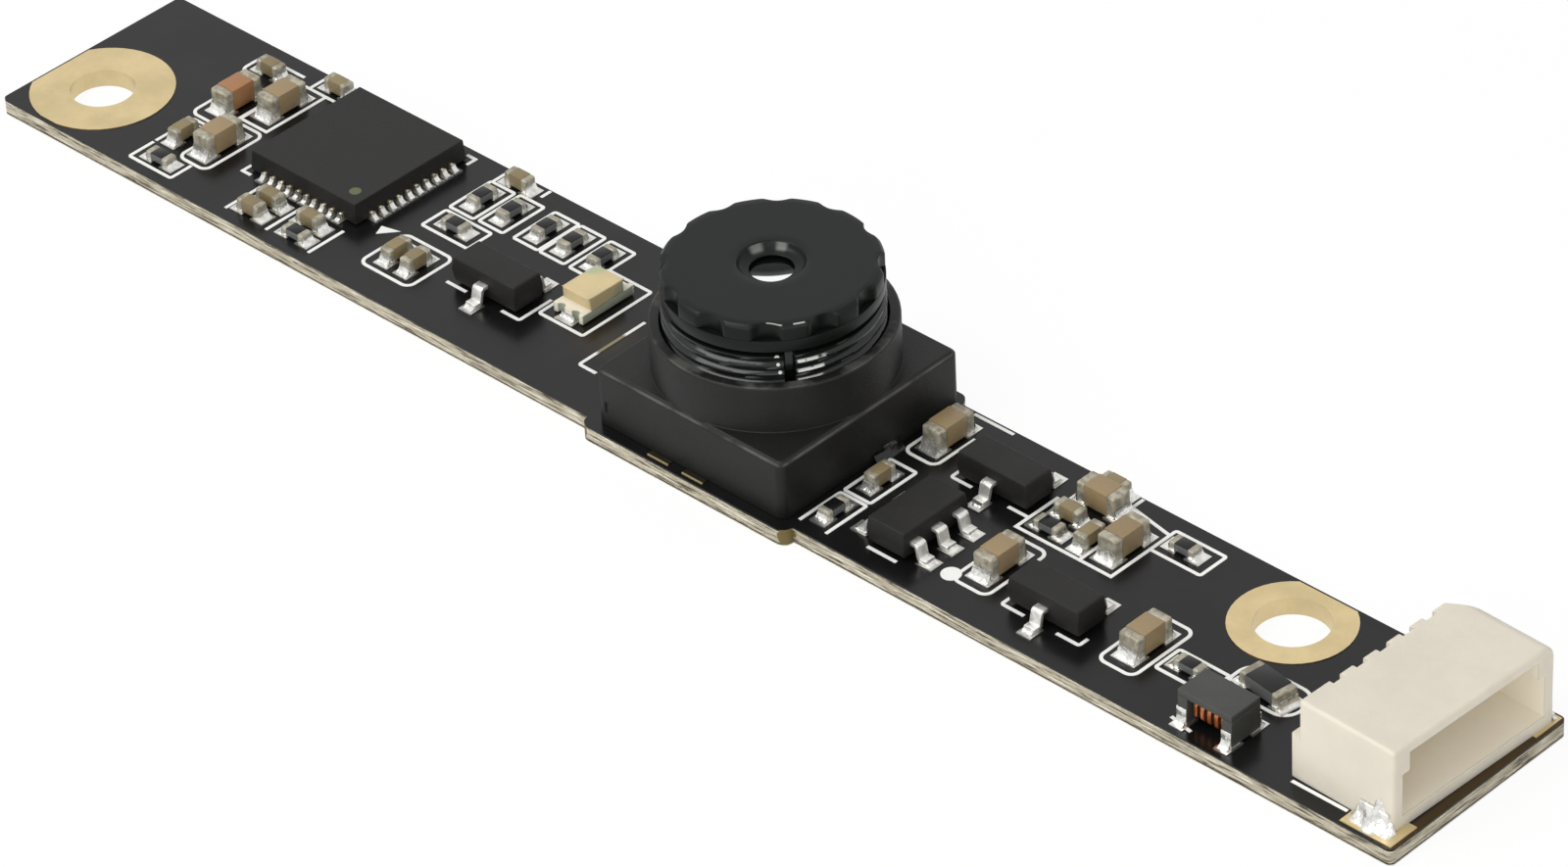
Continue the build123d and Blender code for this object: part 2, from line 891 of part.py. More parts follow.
with BuildPart() as socket_tabs:
    tab_x = -tab_from_mouth - tab_length / 2
    tab_low = land_thickness + solder_thickness
    for side in (-1, 1):
        wall_y = side * (socket_width + tab_thickness) / 2
        foot_y = side * (socket_width / 2 + tab_thickness + tab_foot / 2)
        with Locations(socket_plane.location * Location((tab_x, wall_y, tab_low))):
            Box(tab_length, tab_thickness, tab_height, align=standing)
        with Locations(socket_plane.location * Location((tab_x, foot_y, tab_low))):
            Box(tab_length, tab_foot, tab_thickness, align=standing)


# Feet: each is a place whose X points outwards along the foot. A foot gets a copper land, a thin
# layer of solder between the two, and a wedge of solder that climbs its outer end.


def both_ends(places):
    return places + [(x, y, turn + 180) for x, y, turn in places]


def beside(places, offsets, turn_by):
    feet = []
    for x, y, turn in places:
        ahead, aside = cos(radians(turn)), sin(radians(turn))
        for along, across in offsets:
            feet.append(
                (
                    x + along * ahead - across * aside,
                    y + along * aside + across * ahead,
                    turn + turn_by,
                )
            )
    return feet


def mould_feet(places, width, front, back):
    front_feet = beside(places, [(along, -width / 2) for along in front], -90)
    back_feet = beside(places, [(along, width / 2) for along in back], 90)
    return front_feet + back_feet


def foot_solder(inner, outer, climb, width):
    with BuildPart() as wedge:
        with BuildSketch(Plane.XZ):
            with BuildLine():
                Polyline(
                    (outer + solder_reach, 0),
                    (inner, 0),
                    (inner, solder_thickness),
                    (outer, solder_thickness),
                    (outer, solder_thickness + climb),
                )
                ThreePointArc(
                    (outer, solder_thickness + climb),
                    (outer + 0.3 * solder_reach, 0.35 * (solder_thickness + climb)),
                    (outer + solder_reach, 0),
                )
            make_face()
        extrude(amount=solder_width_share * width / 2, both=True)
    return wedge.part


def foot_land(inner, outer, width):
    with BuildPart() as land:
        with BuildSketch():
            with Locations(((inner + outer + solder_reach) / 2, 0)):
                Rectangle(outer + solder_reach - inner + land_margin, width + land_margin)
        extrude(amount=land_thickness)
    return land.part


def chip_foot(size, cap, places):
    length, width, height = size
    return length / 2 - cap, length / 2, solder_height_share * height, width, both_ends(places)


choke_arm = (choke_length - choke_flange) / 2
choke_side = choke_width / 2
contact_end = -(contact_drop - contact_tail)
socket_places = [(socket_end - socket_gap, socket_y, socket_skew)]
board_feet = [
    chip_foot(large_chip, large_cap, large_capacitor_places),
    chip_foot(small_chip, small_cap, small_capacitor_places),
    chip_foot(resistor_chip, small_cap, resistor_places),
    chip_foot(marked_chip, marked_cap, marked_places),
    (
        mould_lead_reach - mould_lead_foot,
        mould_lead_reach,
        mould_lead_thickness,
        mould_lead_width,
        mould_feet(transistor_places, mould_width, one_lead, two_leads)
        + mould_feet(regulator_places, wide_mould_width, three_leads, two_leads),
    ),
    (
        light_length / 2 - light_terminal,
        light_length / 2,
        light_base_thickness / 2,
        light_notch_spacing,
        both_ends(light_places),
    ),
    (
        choke_side - choke_flange,
        choke_side + choke_terminal_thickness,
        choke_terminal_height / 2,
        choke_flange,
        beside(choke_places, [(-choke_arm, 0), (choke_arm, 0)], 90)
        + beside(choke_places, [(-choke_arm, 0), (choke_arm, 0)], -90),
    ),
    (
        -lead_length / 2,
        lead_length / 2,
        lead_thickness,
        lead_width,
        controller_lead_places(),
    ),
    (
        contact_end - contact_tail,
        contact_end,
        contact_thickness / 2,
        contact_width,
        beside(socket_places, [(0, row) for row in contact_rows], 180),
    ),
]
solder_shapes = [
    (foot_solder(inner, outer, climb, width), places)
    for inner, outer, climb, width, places in board_feet
]
land_shapes = [
    (foot_land(inner, outer, width), places) for inner, outer, climb, width, places in board_feet
]

with BuildPart() as chip_solder:
    for shape, places in solder_shapes:
        with Locations(*spots(places, land_top)):
            add(shape)


# Solder at the socket's two fixing tabs

tab_solder_high = tab_height + solder_thickness
tab_solder_wide = tab_thickness + tab_foot + tab_solder_reach

with BuildPart() as socket_solder:
    for side in (-1, 1):
        wall = side * socket_width / 2
        bead_plane = Plane(
            origin=socket_plane.from_local_coords((tab_x, 0, 0)),
            x_dir=socket_plane.y_dir,
            z_dir=socket_plane.x_dir,
        )
        with BuildSketch(bead_plane):
            with BuildLine():
                Polyline(
                    (wall, land_thickness + tab_solder_high),
                    (wall, land_thickness),
                    (wall + side * tab_solder_wide, land_thickness),
                )
                ThreePointArc(
                    (wall + side * tab_solder_wide, land_thickness),
                    (wall + side * 0.55 * tab_solder_wide, land_thickness + 0.55 * tab_solder_high),
                    (wall, land_thickness + tab_solder_high),
                )
            make_face()
        extrude(amount=tab_length / 2, both=True)
    add(socket_tabs.part, mode=Mode.SUBTRACT)


# Copper lands

with BuildPart() as solder_lands:
    for shape, places in land_shapes:
        with Locations(*spots(places, deck)):
            add(shape)
    with BuildSketch(Plane.XY.offset(deck)):
        with Locations(controller_spot):
            Rectangle(heat_pad_size, heat_pad_size)
        with Locations((lens_x, 0)):
            with GridLocations(
                sensor_ball_pitch, sensor_ball_pitch, sensor_ball_columns, sensor_ball_rows
            ):
                Circle(sensor_land_radius)
        holder_land_step = (holder_land_length + holder_land_gap) / 2
        holder_land_y = -(holder_size + holder_land_width) / 2 - seat_gap
        for side in (-1, 1):
            with Locations((lens_x + holder_land_offset + side * holder_land_step, holder_land_y)):
                Rectangle(holder_land_length, holder_land_width)
    extrude(amount=land_thickness)
    for side in (-1, 1):
        edge = front_edge if side < 0 else back_edge
        with BuildSketch(Plane.XY.offset(deck)):
            with BuildLine():
                Polyline(
                    (socket_end - ring_edge_margin, edge - side * ring_edge_margin),
                    (socket_end - tab_land_length, edge - side * ring_edge_margin),
                    (socket_end - tab_land_length, edge - side * tab_land_width),
                    (socket_end - ring_edge_margin, edge - side * tab_land_width),
                    close=True,
                )
            make_face()
        extrude(amount=land_thickness)
    add(socket_housing.part, mode=Mode.SUBTRACT)


# White ink: each line is its points, then its corner radius, then whether it closes

ink_edge = back_edge - ink_edge_margin
row_edge = front_edge + row_edge_margin
ring_side = [
    ([(-4.05, 2.3), (-4.05, -0.5), (-2.55, -0.5), (-2.55, 2.3)], ink_corner, False),
    ([(-2.5, 3.0), (-2.5, 0.3), (-1.25, 0.3), (-1.25, 3.0)], 0, True),
    ([(-1.25, 3.0), (-0.65, 3.0)], 0, False),
    ([(-2.45, -2.55), (-2.45, 0.08), (-1.15, 0.08), (-1.15, -2.55)], ink_corner, True),
    ([(-4.1, 2.28), (-4.65, 2.28), (-4.65, 3.35), (-2.65, 3.35)], ink_corner, False),
    ([(-2.05, 3.0), (-2.05, ink_edge)], 0, False),
    ([(-2.95, -0.72), (-3.7, -0.72), (-3.7, -2.4)], ink_square_corner, False),
    ([(-3.7, -2.5), (-3.7, row_edge), (-1.7, row_edge), (-1.7, -2.65)], ink_square_corner, False),
]
controller_ticks = [([(x, -2.0), (x, row_edge)], 0, False) for x in (-1.55, 0.37, 2.37)]
controller_side = [
    ([(1.5, -2.85), (1.5, -0.8), (3.75, -0.8), (3.75, -2.85)], ink_corner, True),
    ([(1.55, ink_edge), (1.55, 3.15)], 0, False),
    ([(3.4, ink_edge), (3.4, 3.5)], 0, False),
    ([(1.55, -0.1), (1.55, 1.0), (3.65, 1.0), (3.65, -0.1)], ink_square_corner, True),
]
light_side = [
    ([(-5.7, -0.35), (-5.7, -1.8), (-6.5, -1.8)], ink_square_corner, False),
    ([(-9.0, -1.8), (-8.1, -1.8)], 0, False),
    ([(-5.5, -1.1), (-5.5, 2.0), (-3.55, 2.0), (-3.55, -1.1)], ink_square_corner, True),
    ([(-2.55, 0.7), (-2.55, -2.25), (-1.8, -2.25)], ink_square_corner, False),
]
middle_side = [
    ([(0.3, 2.9), (0.3, 1.05), (1.6, 1.05), (1.6, 2.9)], ink_corner, False),
    ([(0.7, 3.85), (2.35, 3.85)], 0, False),
    ([(0.3, -1.62), (0.3, 0.45), (1.4, 0.45), (1.4, -1.62)], ink_square_corner, True),
    ([(0.3, -3.6), (0.3, -1.78), (1.4, -1.78), (1.4, -3.6)], ink_square_corner, False),
    ([(2.35, 1.8), (2.35, 1.0), (3.2, 1.0)], ink_square_corner, False),
    ([(4.7, 1.0), (5.55, 1.0), (5.55, 2.35)], ink_square_corner, False),
    ([(5.55, 2.35), (5.55, 0.42), (9.4, 0.42), (9.4, 3.1), (7.6, 3.42)], 0, False),
    ([(7.6, 3.42), (7.6, ink_edge)], 0, False),
    ([(8.12, 0.42), (8.12, 2.4)], 0, False),
    ([(5.8, -2.75), (5.8, 0.05), (7.2, 0.05), (7.2, -2.75)], ink_corner, True),
    ([(2.8, -3.25), (4.0, -3.25)], 0, False),
    ([(7.8, -2.0), (7.8, -2.7), (8.7, -2.7)], ink_square_corner, False),
    ([(10.0, -2.7), (10.9, -2.7), (10.9, -2.3)], ink_square_corner, False),
    ([(11.7, -2.8), (11.7, 0.0), (13.1, 0.0), (13.1, -2.8)], ink_corner, True),
    ([(9.4, 2.2), (9.4, 3.4), (11.4, 3.4), (11.4, 2.2)], ink_square_corner, True),
]
socket_side = [
    ([(-10.7, -2.0), (-10.7, -0.9), (-8.75, -0.9), (-8.75, -2.0)], ink_square_corner, True),
    ([(-8.7, -1.4), (-8.7, 0.05), (-6.1, 0.05), (-6.1, -1.4)], 2 * ink_corner, True),
    ([(-8.8, -3.45), (-7.9, -3.62)], 0, False),
    ([(-4.2, -3.42), (-2.1, -3.42)], 0, False),
]
upright_frames = [
    ([(x - 0.55, y - 0.95), (x - 0.55, y + 0.95), (x + 0.55, y + 0.95), (x + 0.55, y - 0.95)],
     ink_square_corner, True)
    for x, y, turn in upright_resistor_places
]
bracket_edge = controller_size / 2 + bracket_margin
controller_brackets = [
    (
        [
            (side_x * (bracket_edge - bracket_arm), controller_y + side_y * bracket_edge),
            (side_x * bracket_edge, controller_y + side_y * bracket_edge),
            (side_x * bracket_edge, controller_y + side_y * (bracket_edge - bracket_arm)),
        ],
        0,
        False,
    )
    for side_x, side_y in ((-1, -1), (1, 1), (-1, 1))
]
ink_groups = [
    (controller_left, ring_side),
    (controller_x, controller_ticks + controller_brackets),
    (controller_right, controller_side),
    (holder_left, light_side),
    (holder_right, middle_side),
    (socket_end, socket_side),
    (0, upright_frames),
]
arrow_tip = (controller_right + 0.6, controller_front + 0.55)
arrow_wing = (arrow_tip[0] + arrow_size, arrow_tip[1] + 0.25 * arrow_size)
arrow_tail = (arrow_tip[0] + 0.25 * arrow_size, arrow_tip[1] - 0.6 * arrow_size)

with BuildPart() as white_ink:
    for start, lines in ink_groups:
        for points, corner, closes in lines:
            route = [(start + x, y) for x, y in points]
            with BuildSketch(Plane.XY.offset(deck)):
                with BuildLine():
                    if corner:
                        FilletPolyline(*route, radius=corner, close=closes)
                    else:
                        Polyline(*route, close=closes)
                trace(line_width=ink_width)
            extrude(amount=ink_thickness)
    with BuildSketch(Plane.XY.offset(deck)):
        with Locations((holder_right + 5.65, -2.6)):
            Circle(pin_one_dot_radius)
        with BuildLine():
            Polyline(arrow_tip, arrow_wing, arrow_tail, close=True)
        make_face()
    extrude(amount=ink_thickness)
    add(solder_lands.part, mode=Mode.SUBTRACT)


# Write every piece under its own name

pieces = {
    "printed_board": printed_board,
    "left_ring": left_ring,
    "right_ring": right_ring,
    "white_ink": white_ink,
    "solder_lands": solder_lands,
    "chip_solder": chip_solder,
    "image_sensor": image_sensor,
    "sensor_cover_glass": sensor_cover_glass,
    "sensor_solder_balls": sensor_solder_balls,
    "lens_holder": lens_holder,
    "holder_glue": holder_glue,
    "lens_barrel": lens_barrel,
    "front_glass": front_glass,
    "aperture_stop": aperture_stop,
    "middle_glass": middle_glass,
    "spacer_ring": spacer_ring,
    "rear_glass": rear_glass,
    "infrared_filter": infrared_filter,
    "retaining_ring": retaining_ring,
    "controller_body": controller_body,
    "controller_leads": controller_leads,
    "controller_heat_pad": controller_heat_pad,
    "regulator_body": regulator_body,
    "regulator_leads": regulator_leads,
    "light_base": light_base,
    "light_top": light_top,
    "light_terminals": light_terminals,
    "large_capacitor_bodies": large_capacitor_bodies,
    "large_capacitor_caps": large_capacitor_caps,
    "small_capacitor_bodies": small_capacitor_bodies,
    "small_capacitor_caps": small_capacitor_caps,
    "resistor_bodies": resistor_bodies,
    "resistor_coats": resistor_coats,
    "resistor_caps": resistor_caps,
    "marked_chip_body": marked_chip_body,
    "marked_chip_coat": marked_chip_coat,
    "marked_chip_caps": marked_chip_caps,
    "choke_drum": choke_drum,
    "choke_plate": choke_plate,
    "choke_winding": choke_winding,
    "choke_terminals": choke_terminals,
    "socket_housing": socket_housing,
    "socket_contacts": socket_contacts,
    "socket_tabs": socket_tabs,
    "socket_solder": socket_solder,
}
for number, (body, leads) in enumerate(zip(transistor_bodies, transistor_leads), start=1):
    pieces[f"transistor_{number}_body"] = body
    pieces[f"transistor_{number}_leads"] = leads

os.makedirs("parts", exist_ok=True)
for name, piece in pieces.items():
    piece.part.label = name
    export_step(piece.part, f"parts/{name}.step")
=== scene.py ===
from math import atan2, cos, pi, radians, sin, sqrt

import bmesh
import bpy
from bpy.props import FloatProperty, FloatVectorProperty, IntProperty, PointerProperty
from bpy.types import NodeSocket, Operator, Panel, PropertyGroup
from mathutils import Matrix, Vector


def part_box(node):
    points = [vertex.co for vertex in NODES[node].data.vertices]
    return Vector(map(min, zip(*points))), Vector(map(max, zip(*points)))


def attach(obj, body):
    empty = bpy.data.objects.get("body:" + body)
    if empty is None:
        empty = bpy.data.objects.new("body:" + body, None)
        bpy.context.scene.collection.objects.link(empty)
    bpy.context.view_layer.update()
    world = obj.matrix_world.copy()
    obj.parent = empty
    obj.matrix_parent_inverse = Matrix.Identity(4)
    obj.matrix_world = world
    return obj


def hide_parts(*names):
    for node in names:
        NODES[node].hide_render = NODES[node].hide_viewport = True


bl_info = {
    "name": "Strip camera module",
    "version": (1, 0, 0),
    "blender": (4, 5, 0),
    "location": "View3D > Sidebar > Camera module",
    "description": "Finishes and detailed pieces for a strip camera module",
    "category": "Add Mesh",
}

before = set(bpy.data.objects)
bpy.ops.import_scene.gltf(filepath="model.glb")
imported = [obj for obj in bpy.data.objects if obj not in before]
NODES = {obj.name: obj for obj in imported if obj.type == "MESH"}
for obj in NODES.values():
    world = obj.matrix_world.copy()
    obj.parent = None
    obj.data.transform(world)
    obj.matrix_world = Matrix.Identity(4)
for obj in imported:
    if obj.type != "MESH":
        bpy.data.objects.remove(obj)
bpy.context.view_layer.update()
MM = 0.001


# Places on the module, in millimetres


def node_box(node):
    """The low and the high corner of a CAD node."""
    low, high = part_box(node)
    return low / MM, high / MM


barrel_low, barrel_high = node_box("lens_barrel")
holder_low, holder_high = node_box("lens_holder")
board_low, board_high = node_box("printed_board")
socket_low, socket_high = node_box("socket_housing")
LENS_X = (barrel_low.x + barrel_high.x) / 2
DECK = board_high.z
PLATE_TOP = DECK + 2.1  # top of the holder's square plate
COLLAR_TOP = holder_high.z
CAP_TOP = barrel_high.z
WORN_INK = (holder_low.x - 2.5, -0.83, DECK)
STAIN = (holder_low.x - 2.9, -0.75, DECK)
BARE_FRONT = -4.0  # lands before this line, under the holder's front, aren't tinned
BARE_END = board_high.x - 2.1  # nor are the lands past this line, at the socket
SOCKET_TURN = radians(-2.0)  # the socket is soldered a little askew
SOCKET_MOUTH = 29.647  # measured along the socket's own turned axis
# Middle of the front glass's dark part, painted dark for the shaded inside of the lens and ringed
# by its painted reflection: its turn, how far off the axis, how far under the cap
DARK_MIDDLE = (radians(45.4), 1.5, 0.36)


def linear(red, green, blue):
    """A screen colour from 0 to 255 as the linear colour that a shader wants."""
    def one(value):
        value /= 255
        return value / 12.92 if value <= 0.04045 else ((value + 0.055) / 1.055) ** 2.4
    return one(red), one(green), one(blue), 1.0


# Colours of wear and stains, and of painted light, shade and reflections

DEEP_FIBRE = linear(66, 59, 44)
PALE_FIBRE = linear(238, 234, 220)
FIBRE_FLECK = linear(92, 84, 62)
SILVERY_LIP = linear(224, 216, 196)
AMBER_DRIP = linear(112, 98, 54)
BROWN_STAIN = linear(62, 52, 34)
# Painted shadow on the board's top past the socket's mouth
PAINTED_SHADOW_PAST_SOCKET = linear(66, 48, 20)
COATED_LAND = linear(30, 26, 16)
THIN_INK = linear(140, 136, 124)
YELLOWED_INK = linear(140, 132, 104)
DULL_TIN = linear(134, 128, 110)
# Painted highlight along the holder's edges
PALE_TIN = linear(178, 172, 154)
PAINTED_EDGE_HIGHLIGHT = linear(112, 111, 106)
LIT_NYLON = linear(246, 238, 222)
# Front glass: painted shade, and painted reflections
PAINTED_SHADE_GLASS = linear(9, 12, 11)
PAINTED_REFLECTION_GREY = linear(235, 240, 238)
LIT_GLASS = linear(250, 250, 250)
# Painted highlights on the lens
LIT_STREAK = linear(214, 214, 208)
LIT_RIM_GLINT = linear(186, 188, 182)
LIT_MOUTH = linear(150, 154, 148)
RESIN_GLOW = linear(222, 202, 136)
GREEN_RESIN = linear(158, 176, 140)
PIN_MARK = linear(92, 100, 70)
GILDING = (1.0, 0.88, 0.66, 1.0)  # what the tin on the controller's leads does to solder

# Painted highlights on the lens. The glints by its slot: east and north of its middle, under its
# top, reach
SLOT_GLINTS = ((2.5, -2.44, 1.16, 0.1), (2.52, -2.42, 1.42, 0.07), (2.55, -2.38, 1.7, 0.09))
# The painted glints on its rim and the painted light patches in its mouth: angle, half width, and
# half width of the fade
RIM_GLINTS = ((-45, 3.5, 4.5), (-32, 2.5, 3.5))
MOUTH_LIGHT_PATCHES = ((162, 5, 17), (116, 4, 14))


# Settings


def colour_property(name, description, screen):
    return FloatVectorProperty(
        name=name, description=description, subtype="COLOR", size=4,
        min=0.0, max=1.0, default=linear(*screen),
    )


def length_property(name, description, millimetres):
    return FloatProperty(
        name=name, description=description, default=millimetres * MM,
        min=0.0, unit="LENGTH", precision=5,
    )


def angle_property(name, description, degrees):
    return FloatProperty(
        name=name, description=description, default=radians(degrees), subtype="ANGLE"
    )


class ModuleColours(PropertyGroup):
    mask: colour_property("Solder mask", "Black lacquer on the board", (15, 15, 15))
    fibreglass: colour_property("Board edge", "Cut edge of the board", (190, 181, 158))
    gold: colour_property("Gold", "Plated rings and lands", (214, 194, 148))
    ink: colour_property("Ink", "Printed outlines", (240, 240, 236))
    solder: colour_property("Solder", "Solder and tinned leads", (226, 225, 220))
    ceramic: colour_property("Ceramic", "Capacitor bodies", (134, 115, 84))
    ceramic_warm: colour_property("Warm ceramic", "The reddest capacitor body", (156, 108, 68))
    dark_ceramic: colour_property("Dark ceramic", "Small capacitor bodies", (122, 108, 78))
    moulding: colour_property("Moulding", "Moulded chip bodies", (26, 25, 24))
    holder: colour_property("Holder", "Lens holder plastic", (18, 18, 17))
    lens: colour_property("Lens", "Lens barrel plastic", (7, 12, 9))
    socket: colour_property("Socket", "Socket plastic", (212, 205, 190))
    resin: colour_property("Light resin", "Cast top of the light", (200, 180, 138))
    copper: colour_property("Winding", "Enamelled copper wire", (196, 112, 58))


class LensSizes(PropertyGroup):
    steps: IntProperty(
        name="Steps around", description="Faces around the barrel", default=360, min=72, max=720
    )
    pitch: length_property("Thread pitch", "Rise of the thread in one turn", 0.35)
    thread_depth: length_property("Thread depth", "Crest to root", 0.17)
    flutes: IntProperty(
        name="Flutes", description="Grip flutes around the cap", default=12, min=0, max=40
    )
    flute_radius: length_property("Flute radius", "Radius of each grip flute", 0.6)
    flute_depth: length_property("Flute depth", "How deep a flute cuts the rim", 0.24)
    flute_turn: angle_property("Flute turn", "Angle of the first flute", 10.8)
    edge: length_property("Edge", "Roundness of the cap's edges", 0.035)
    slot_width: length_property("Slot width", "Width of the slot across the thread", 0.26)
    slot_turn: angle_property("Slot turn", "Angle of the slot across the thread", -38.0)


class StageSettings(PropertyGroup):
    floor_size: FloatProperty(
        name="Floor", description="Side of the floor", default=1.6, min=0.1, unit="LENGTH"
    )
    floor_colour: colour_property("Floor", "Colour of the floor", (250, 250, 249))
    daylight: FloatProperty(
        name="Daylight", description="Strength of the surrounding light", default=0.5, min=0.0
    )
    azimuth: angle_property("Azimuth", "Camera's turn around the object", 45.44)
    elevation: angle_property("Elevation", "Camera's height angle", 36.37)
    roll: angle_property("Roll", "Camera's tilt", -2.98)
    distance: FloatProperty(
        name="Distance", description="Camera to target", default=0.2245, min=0.01, unit="LENGTH"
    )
    focal_length: FloatProperty(
        name="Focal length", description="Lens of the camera in millimetres", default=166.5,
        min=1.0,
    )


# Shader maths


def add_node(tree, kind, settings=None, values=()):
    """Adds a node: its settings first, then each input's value, or what it is linked to."""
    made = tree.nodes.new(kind)
    for key, value in (settings or {}).items():
        setattr(made, key, value)
    for key, value in values.items() if isinstance(values, dict) else enumerate(values):
        value = value.socket if isinstance(value, Signal) else value
        if isinstance(value, NodeSocket):
            tree.links.new(value, made.inputs[key])
        else:
            made.inputs[key].default_value = value
    return made


def arithmetic(operation, flipped=False):
    """A method that adds a Math node on a signal and, if there is one, another value."""
    def method(signal, *other):
        values = (*other, signal) if flipped else (signal, *other)
        return signal.finish.maths(operation, *values)
    return method


class Signal:
    """A value in a finish's node tree: arithmetic on it adds Math nodes."""

    def __init__(self, finish, socket):
        self.finish = finish
        self.socket = socket

    __add__ = __radd__ = arithmetic("ADD")
    __sub__ = arithmetic("SUBTRACT")
    __rsub__ = arithmetic("SUBTRACT", flipped=True)
    __mul__ = __rmul__ = arithmetic("MULTIPLY")
    __truediv__ = arithmetic("DIVIDE")
    __gt__ = arithmetic("GREATER_THAN")
    __lt__ = arithmetic("LESS_THAN")
    __abs__ = arithmetic("ABSOLUTE")

    def between(self, low, high):
        """0 below low, 1 above high, and a soft step from one to the other."""
        return self.finish.node(
            "ShaderNodeMapRange", {"interpolation_type": "SMOOTHSTEP"},
            {"Value": self, "From Min": low, "From Max": high},
        )

    def within(self, low, full_from, full_to, high):
        """1 from one full value to the other, falling softly to 0 at low and at high."""
        return self.between(low, full_from) * (1 - self.between(full_to, high))

    def around(self, middle, full, gone):
        """1 up to one distance from the middle, falling softly to 0 at the other."""
        return 1 - abs(self - middle).between(full, gone)


finishes = {}


class Finish:
    """One procedural material on a Principled shader, kept in finishes under its name."""

    def __init__(self, name, **fixed):
        self.material = finishes[name] = bpy.data.materials.new(name)
        self.material.use_nodes = True
        self.tree = self.material.node_tree
        self.shader = self.tree.nodes["Principled BSDF"]
        for socket, value in fixed.items():
            self.shader.inputs[socket.replace("_", " ")].default_value = value
        place = self.node("ShaderNodeTexCoord", output="Object")
        self.place = self.node(
            "ShaderNodeVectorMath", {"operation": "SCALE"}, {0: place, "Scale": 1 / MM}
        )

    def node(self, kind, settings=None, values=(), output=0):
        return Signal(self, add_node(self.tree, kind, settings, values).outputs[output])

    def maths(self, operation, *values):
        return self.node("ShaderNodeMath", {"operation": operation}, values)

    def set(self, **sockets):
        for name, value in sockets.items():
            self.tree.links.new(value.socket, self.shader.inputs[name.replace("_", " ")])

    def axis(self, name):
        return self.node("ShaderNodeSeparateXYZ", values=(self.place,), output=name)

    def noise(self, scale, detail=2.0, rough=0.5, stretch=None):
        place = self.place
        if stretch:
            place = self.node(
                "ShaderNodeVectorMath", {"operation": "MULTIPLY"}, (place, stretch)
            )
        return self.node(
            "ShaderNodeTexNoise", {},
            {"Vector": place, "Scale": scale, "Detail": detail, "Roughness": rough},
        )

    def near(self, place, reach):
        """1 at a place in millimetres, falling to 0 at the reach."""
        away = self.node("ShaderNodeVectorMath", {"operation": "SUBTRACT"}, (self.place, place))
        apart = self.node("ShaderNodeVectorMath", {"operation": "LENGTH"}, (away,), "Value")
        return self.node(
            "ShaderNodeMath", {"operation": "SUBTRACT", "use_clamp": True}, (1.0, apart / reach)
        )

    def stored(self, name):
        """A value that the mesh carries."""
        return self.node(
            "ShaderNodeAttribute", {"attribute_name": name, "attribute_type": "GEOMETRY"},
            output="Fac",
        )

    def over(self, colour, *layers):
        """The colour under layers, each a mask and its own colour."""
        for mask, layer in layers:
            colour = self.node(
                "ShaderNodeMix", {"data_type": "RGBA"}, {0: mask, 6: colour, 7: layer}, output=2
            )
        return colour

    def clouded(self, colour, lighter, cloud):
        """A colour with lighter clouds."""
        return self.over(colour, (cloud.between(0.3, 0.75), shade(colour, lighter)))

    def bump(self, height, depth):
        """Relief of the given depth in millimetres from a height between 0 and 1."""
        return self.node(
            "ShaderNodeBump", {}, {"Height": height, "Distance": depth * MM}, output="Normal"
        )

    def grained(self, colour, grain, rough, spread, depth):
        """Sets the colour, and a grain that spreads the roughness and is its relief too."""
        self.set(
            Base_Color=colour, Roughness=rough + grain * spread, Normal=self.bump(grain, depth)
        )


def shade(colour, factor):
    """A colour made lighter or darker."""
    return tuple(min(1.0, part * factor) for part in colour[:3]) + (1.0,)


# Finishes


def mask_finish(colours):
    """Glossy black lacquer on top, and the cut fibreglass along the board's sides."""
    f = Finish("solder_mask", Specular_IOR_Level=0.27)
    height = f.axis("Z")
    side = 1 - (height - (DECK - 0.004)).between(0.0, 0.003)
    fibre = f.noise(1.0, 5.0, 0.7, stretch=(0.8, 0.8, 13.0))
    fleck = f.noise(9.0, 3.0, 0.6)
    haze = f.noise(0.35, 3.0, 0.6)
    ripple = f.noise(1.2, 4.0, 0.55)
    grain = f.noise(22.0, 2.0, 0.5)

    def drip(shoulder):
        """Resin that ran down where the board widens for the holder."""
        near = f.near((shoulder, board_low.y + 0.1, 0.35), 0.42)
        return (near + fleck * 0.3).between(0.3, 0.42), AMBER_DRIP

    edge = f.over(
        DEEP_FIBRE,
        (fibre.between(0.38, 0.5), colours.fibreglass),
        (fibre.between(0.54, 0.64), PALE_FIBRE),
        (fleck.between(0.6, 0.75) * 0.5, FIBRE_FLECK),
        ((height + fleck * 0.05).between(DECK - 0.07, DECK - 0.03), shade(colours.mask, 1.5)),
        (1 - (height + fleck * 0.06).between(0.1, 0.15), shade(colours.mask, 2.0)),
        (1 - (height + fleck * 0.03).between(0.045, 0.06), SILVERY_LIP),
        drip(holder_low.x - 0.4),
        drip(holder_high.x + 0.4),
    )
    lacquer = f.over(
        colours.mask,
        (haze.between(0.35, 0.75), shade(colours.mask, 1.6)),
        (f.near(STAIN, 1.3) * 0.6, BROWN_STAIN),
        # Painted shadow: the board's top past the socket's mouth is coloured brown-black, as if
        # in shade
        (f.axis("X").between(SOCKET_MOUTH - 0.05, SOCKET_MOUTH + 0.1), PAINTED_SHADOW_PAST_SOCKET),
    )
    f.set(
        Base_Color=f.over(lacquer, (side, edge)),
        Roughness=side * 0.45 + (1 - side) * (0.16 + haze * 0.16),
        Normal=f.bump(side * fibre * 4 + (1 - side) * (ripple * 0.35 + grain * 0.05), 0.02),
    )


def gold_finish(colours):
    """Plated gold, clouded and finely pitted."""
    f = Finish("gold", Metallic=1.0)
    cloud = f.noise(0.8, 4.0, 0.6)
    pits = f.noise(18.0, 3.0, 0.6)
    f.set(
        Base_Color=f.over(
            shade(colours.gold, 0.9), (cloud.between(0.3, 0.7), shade(colours.gold, 1.06))
        ),
        Roughness=0.26 + cloud * 0.12,
        Normal=f.bump(pits + cloud * 0.6, 0.006),
    )


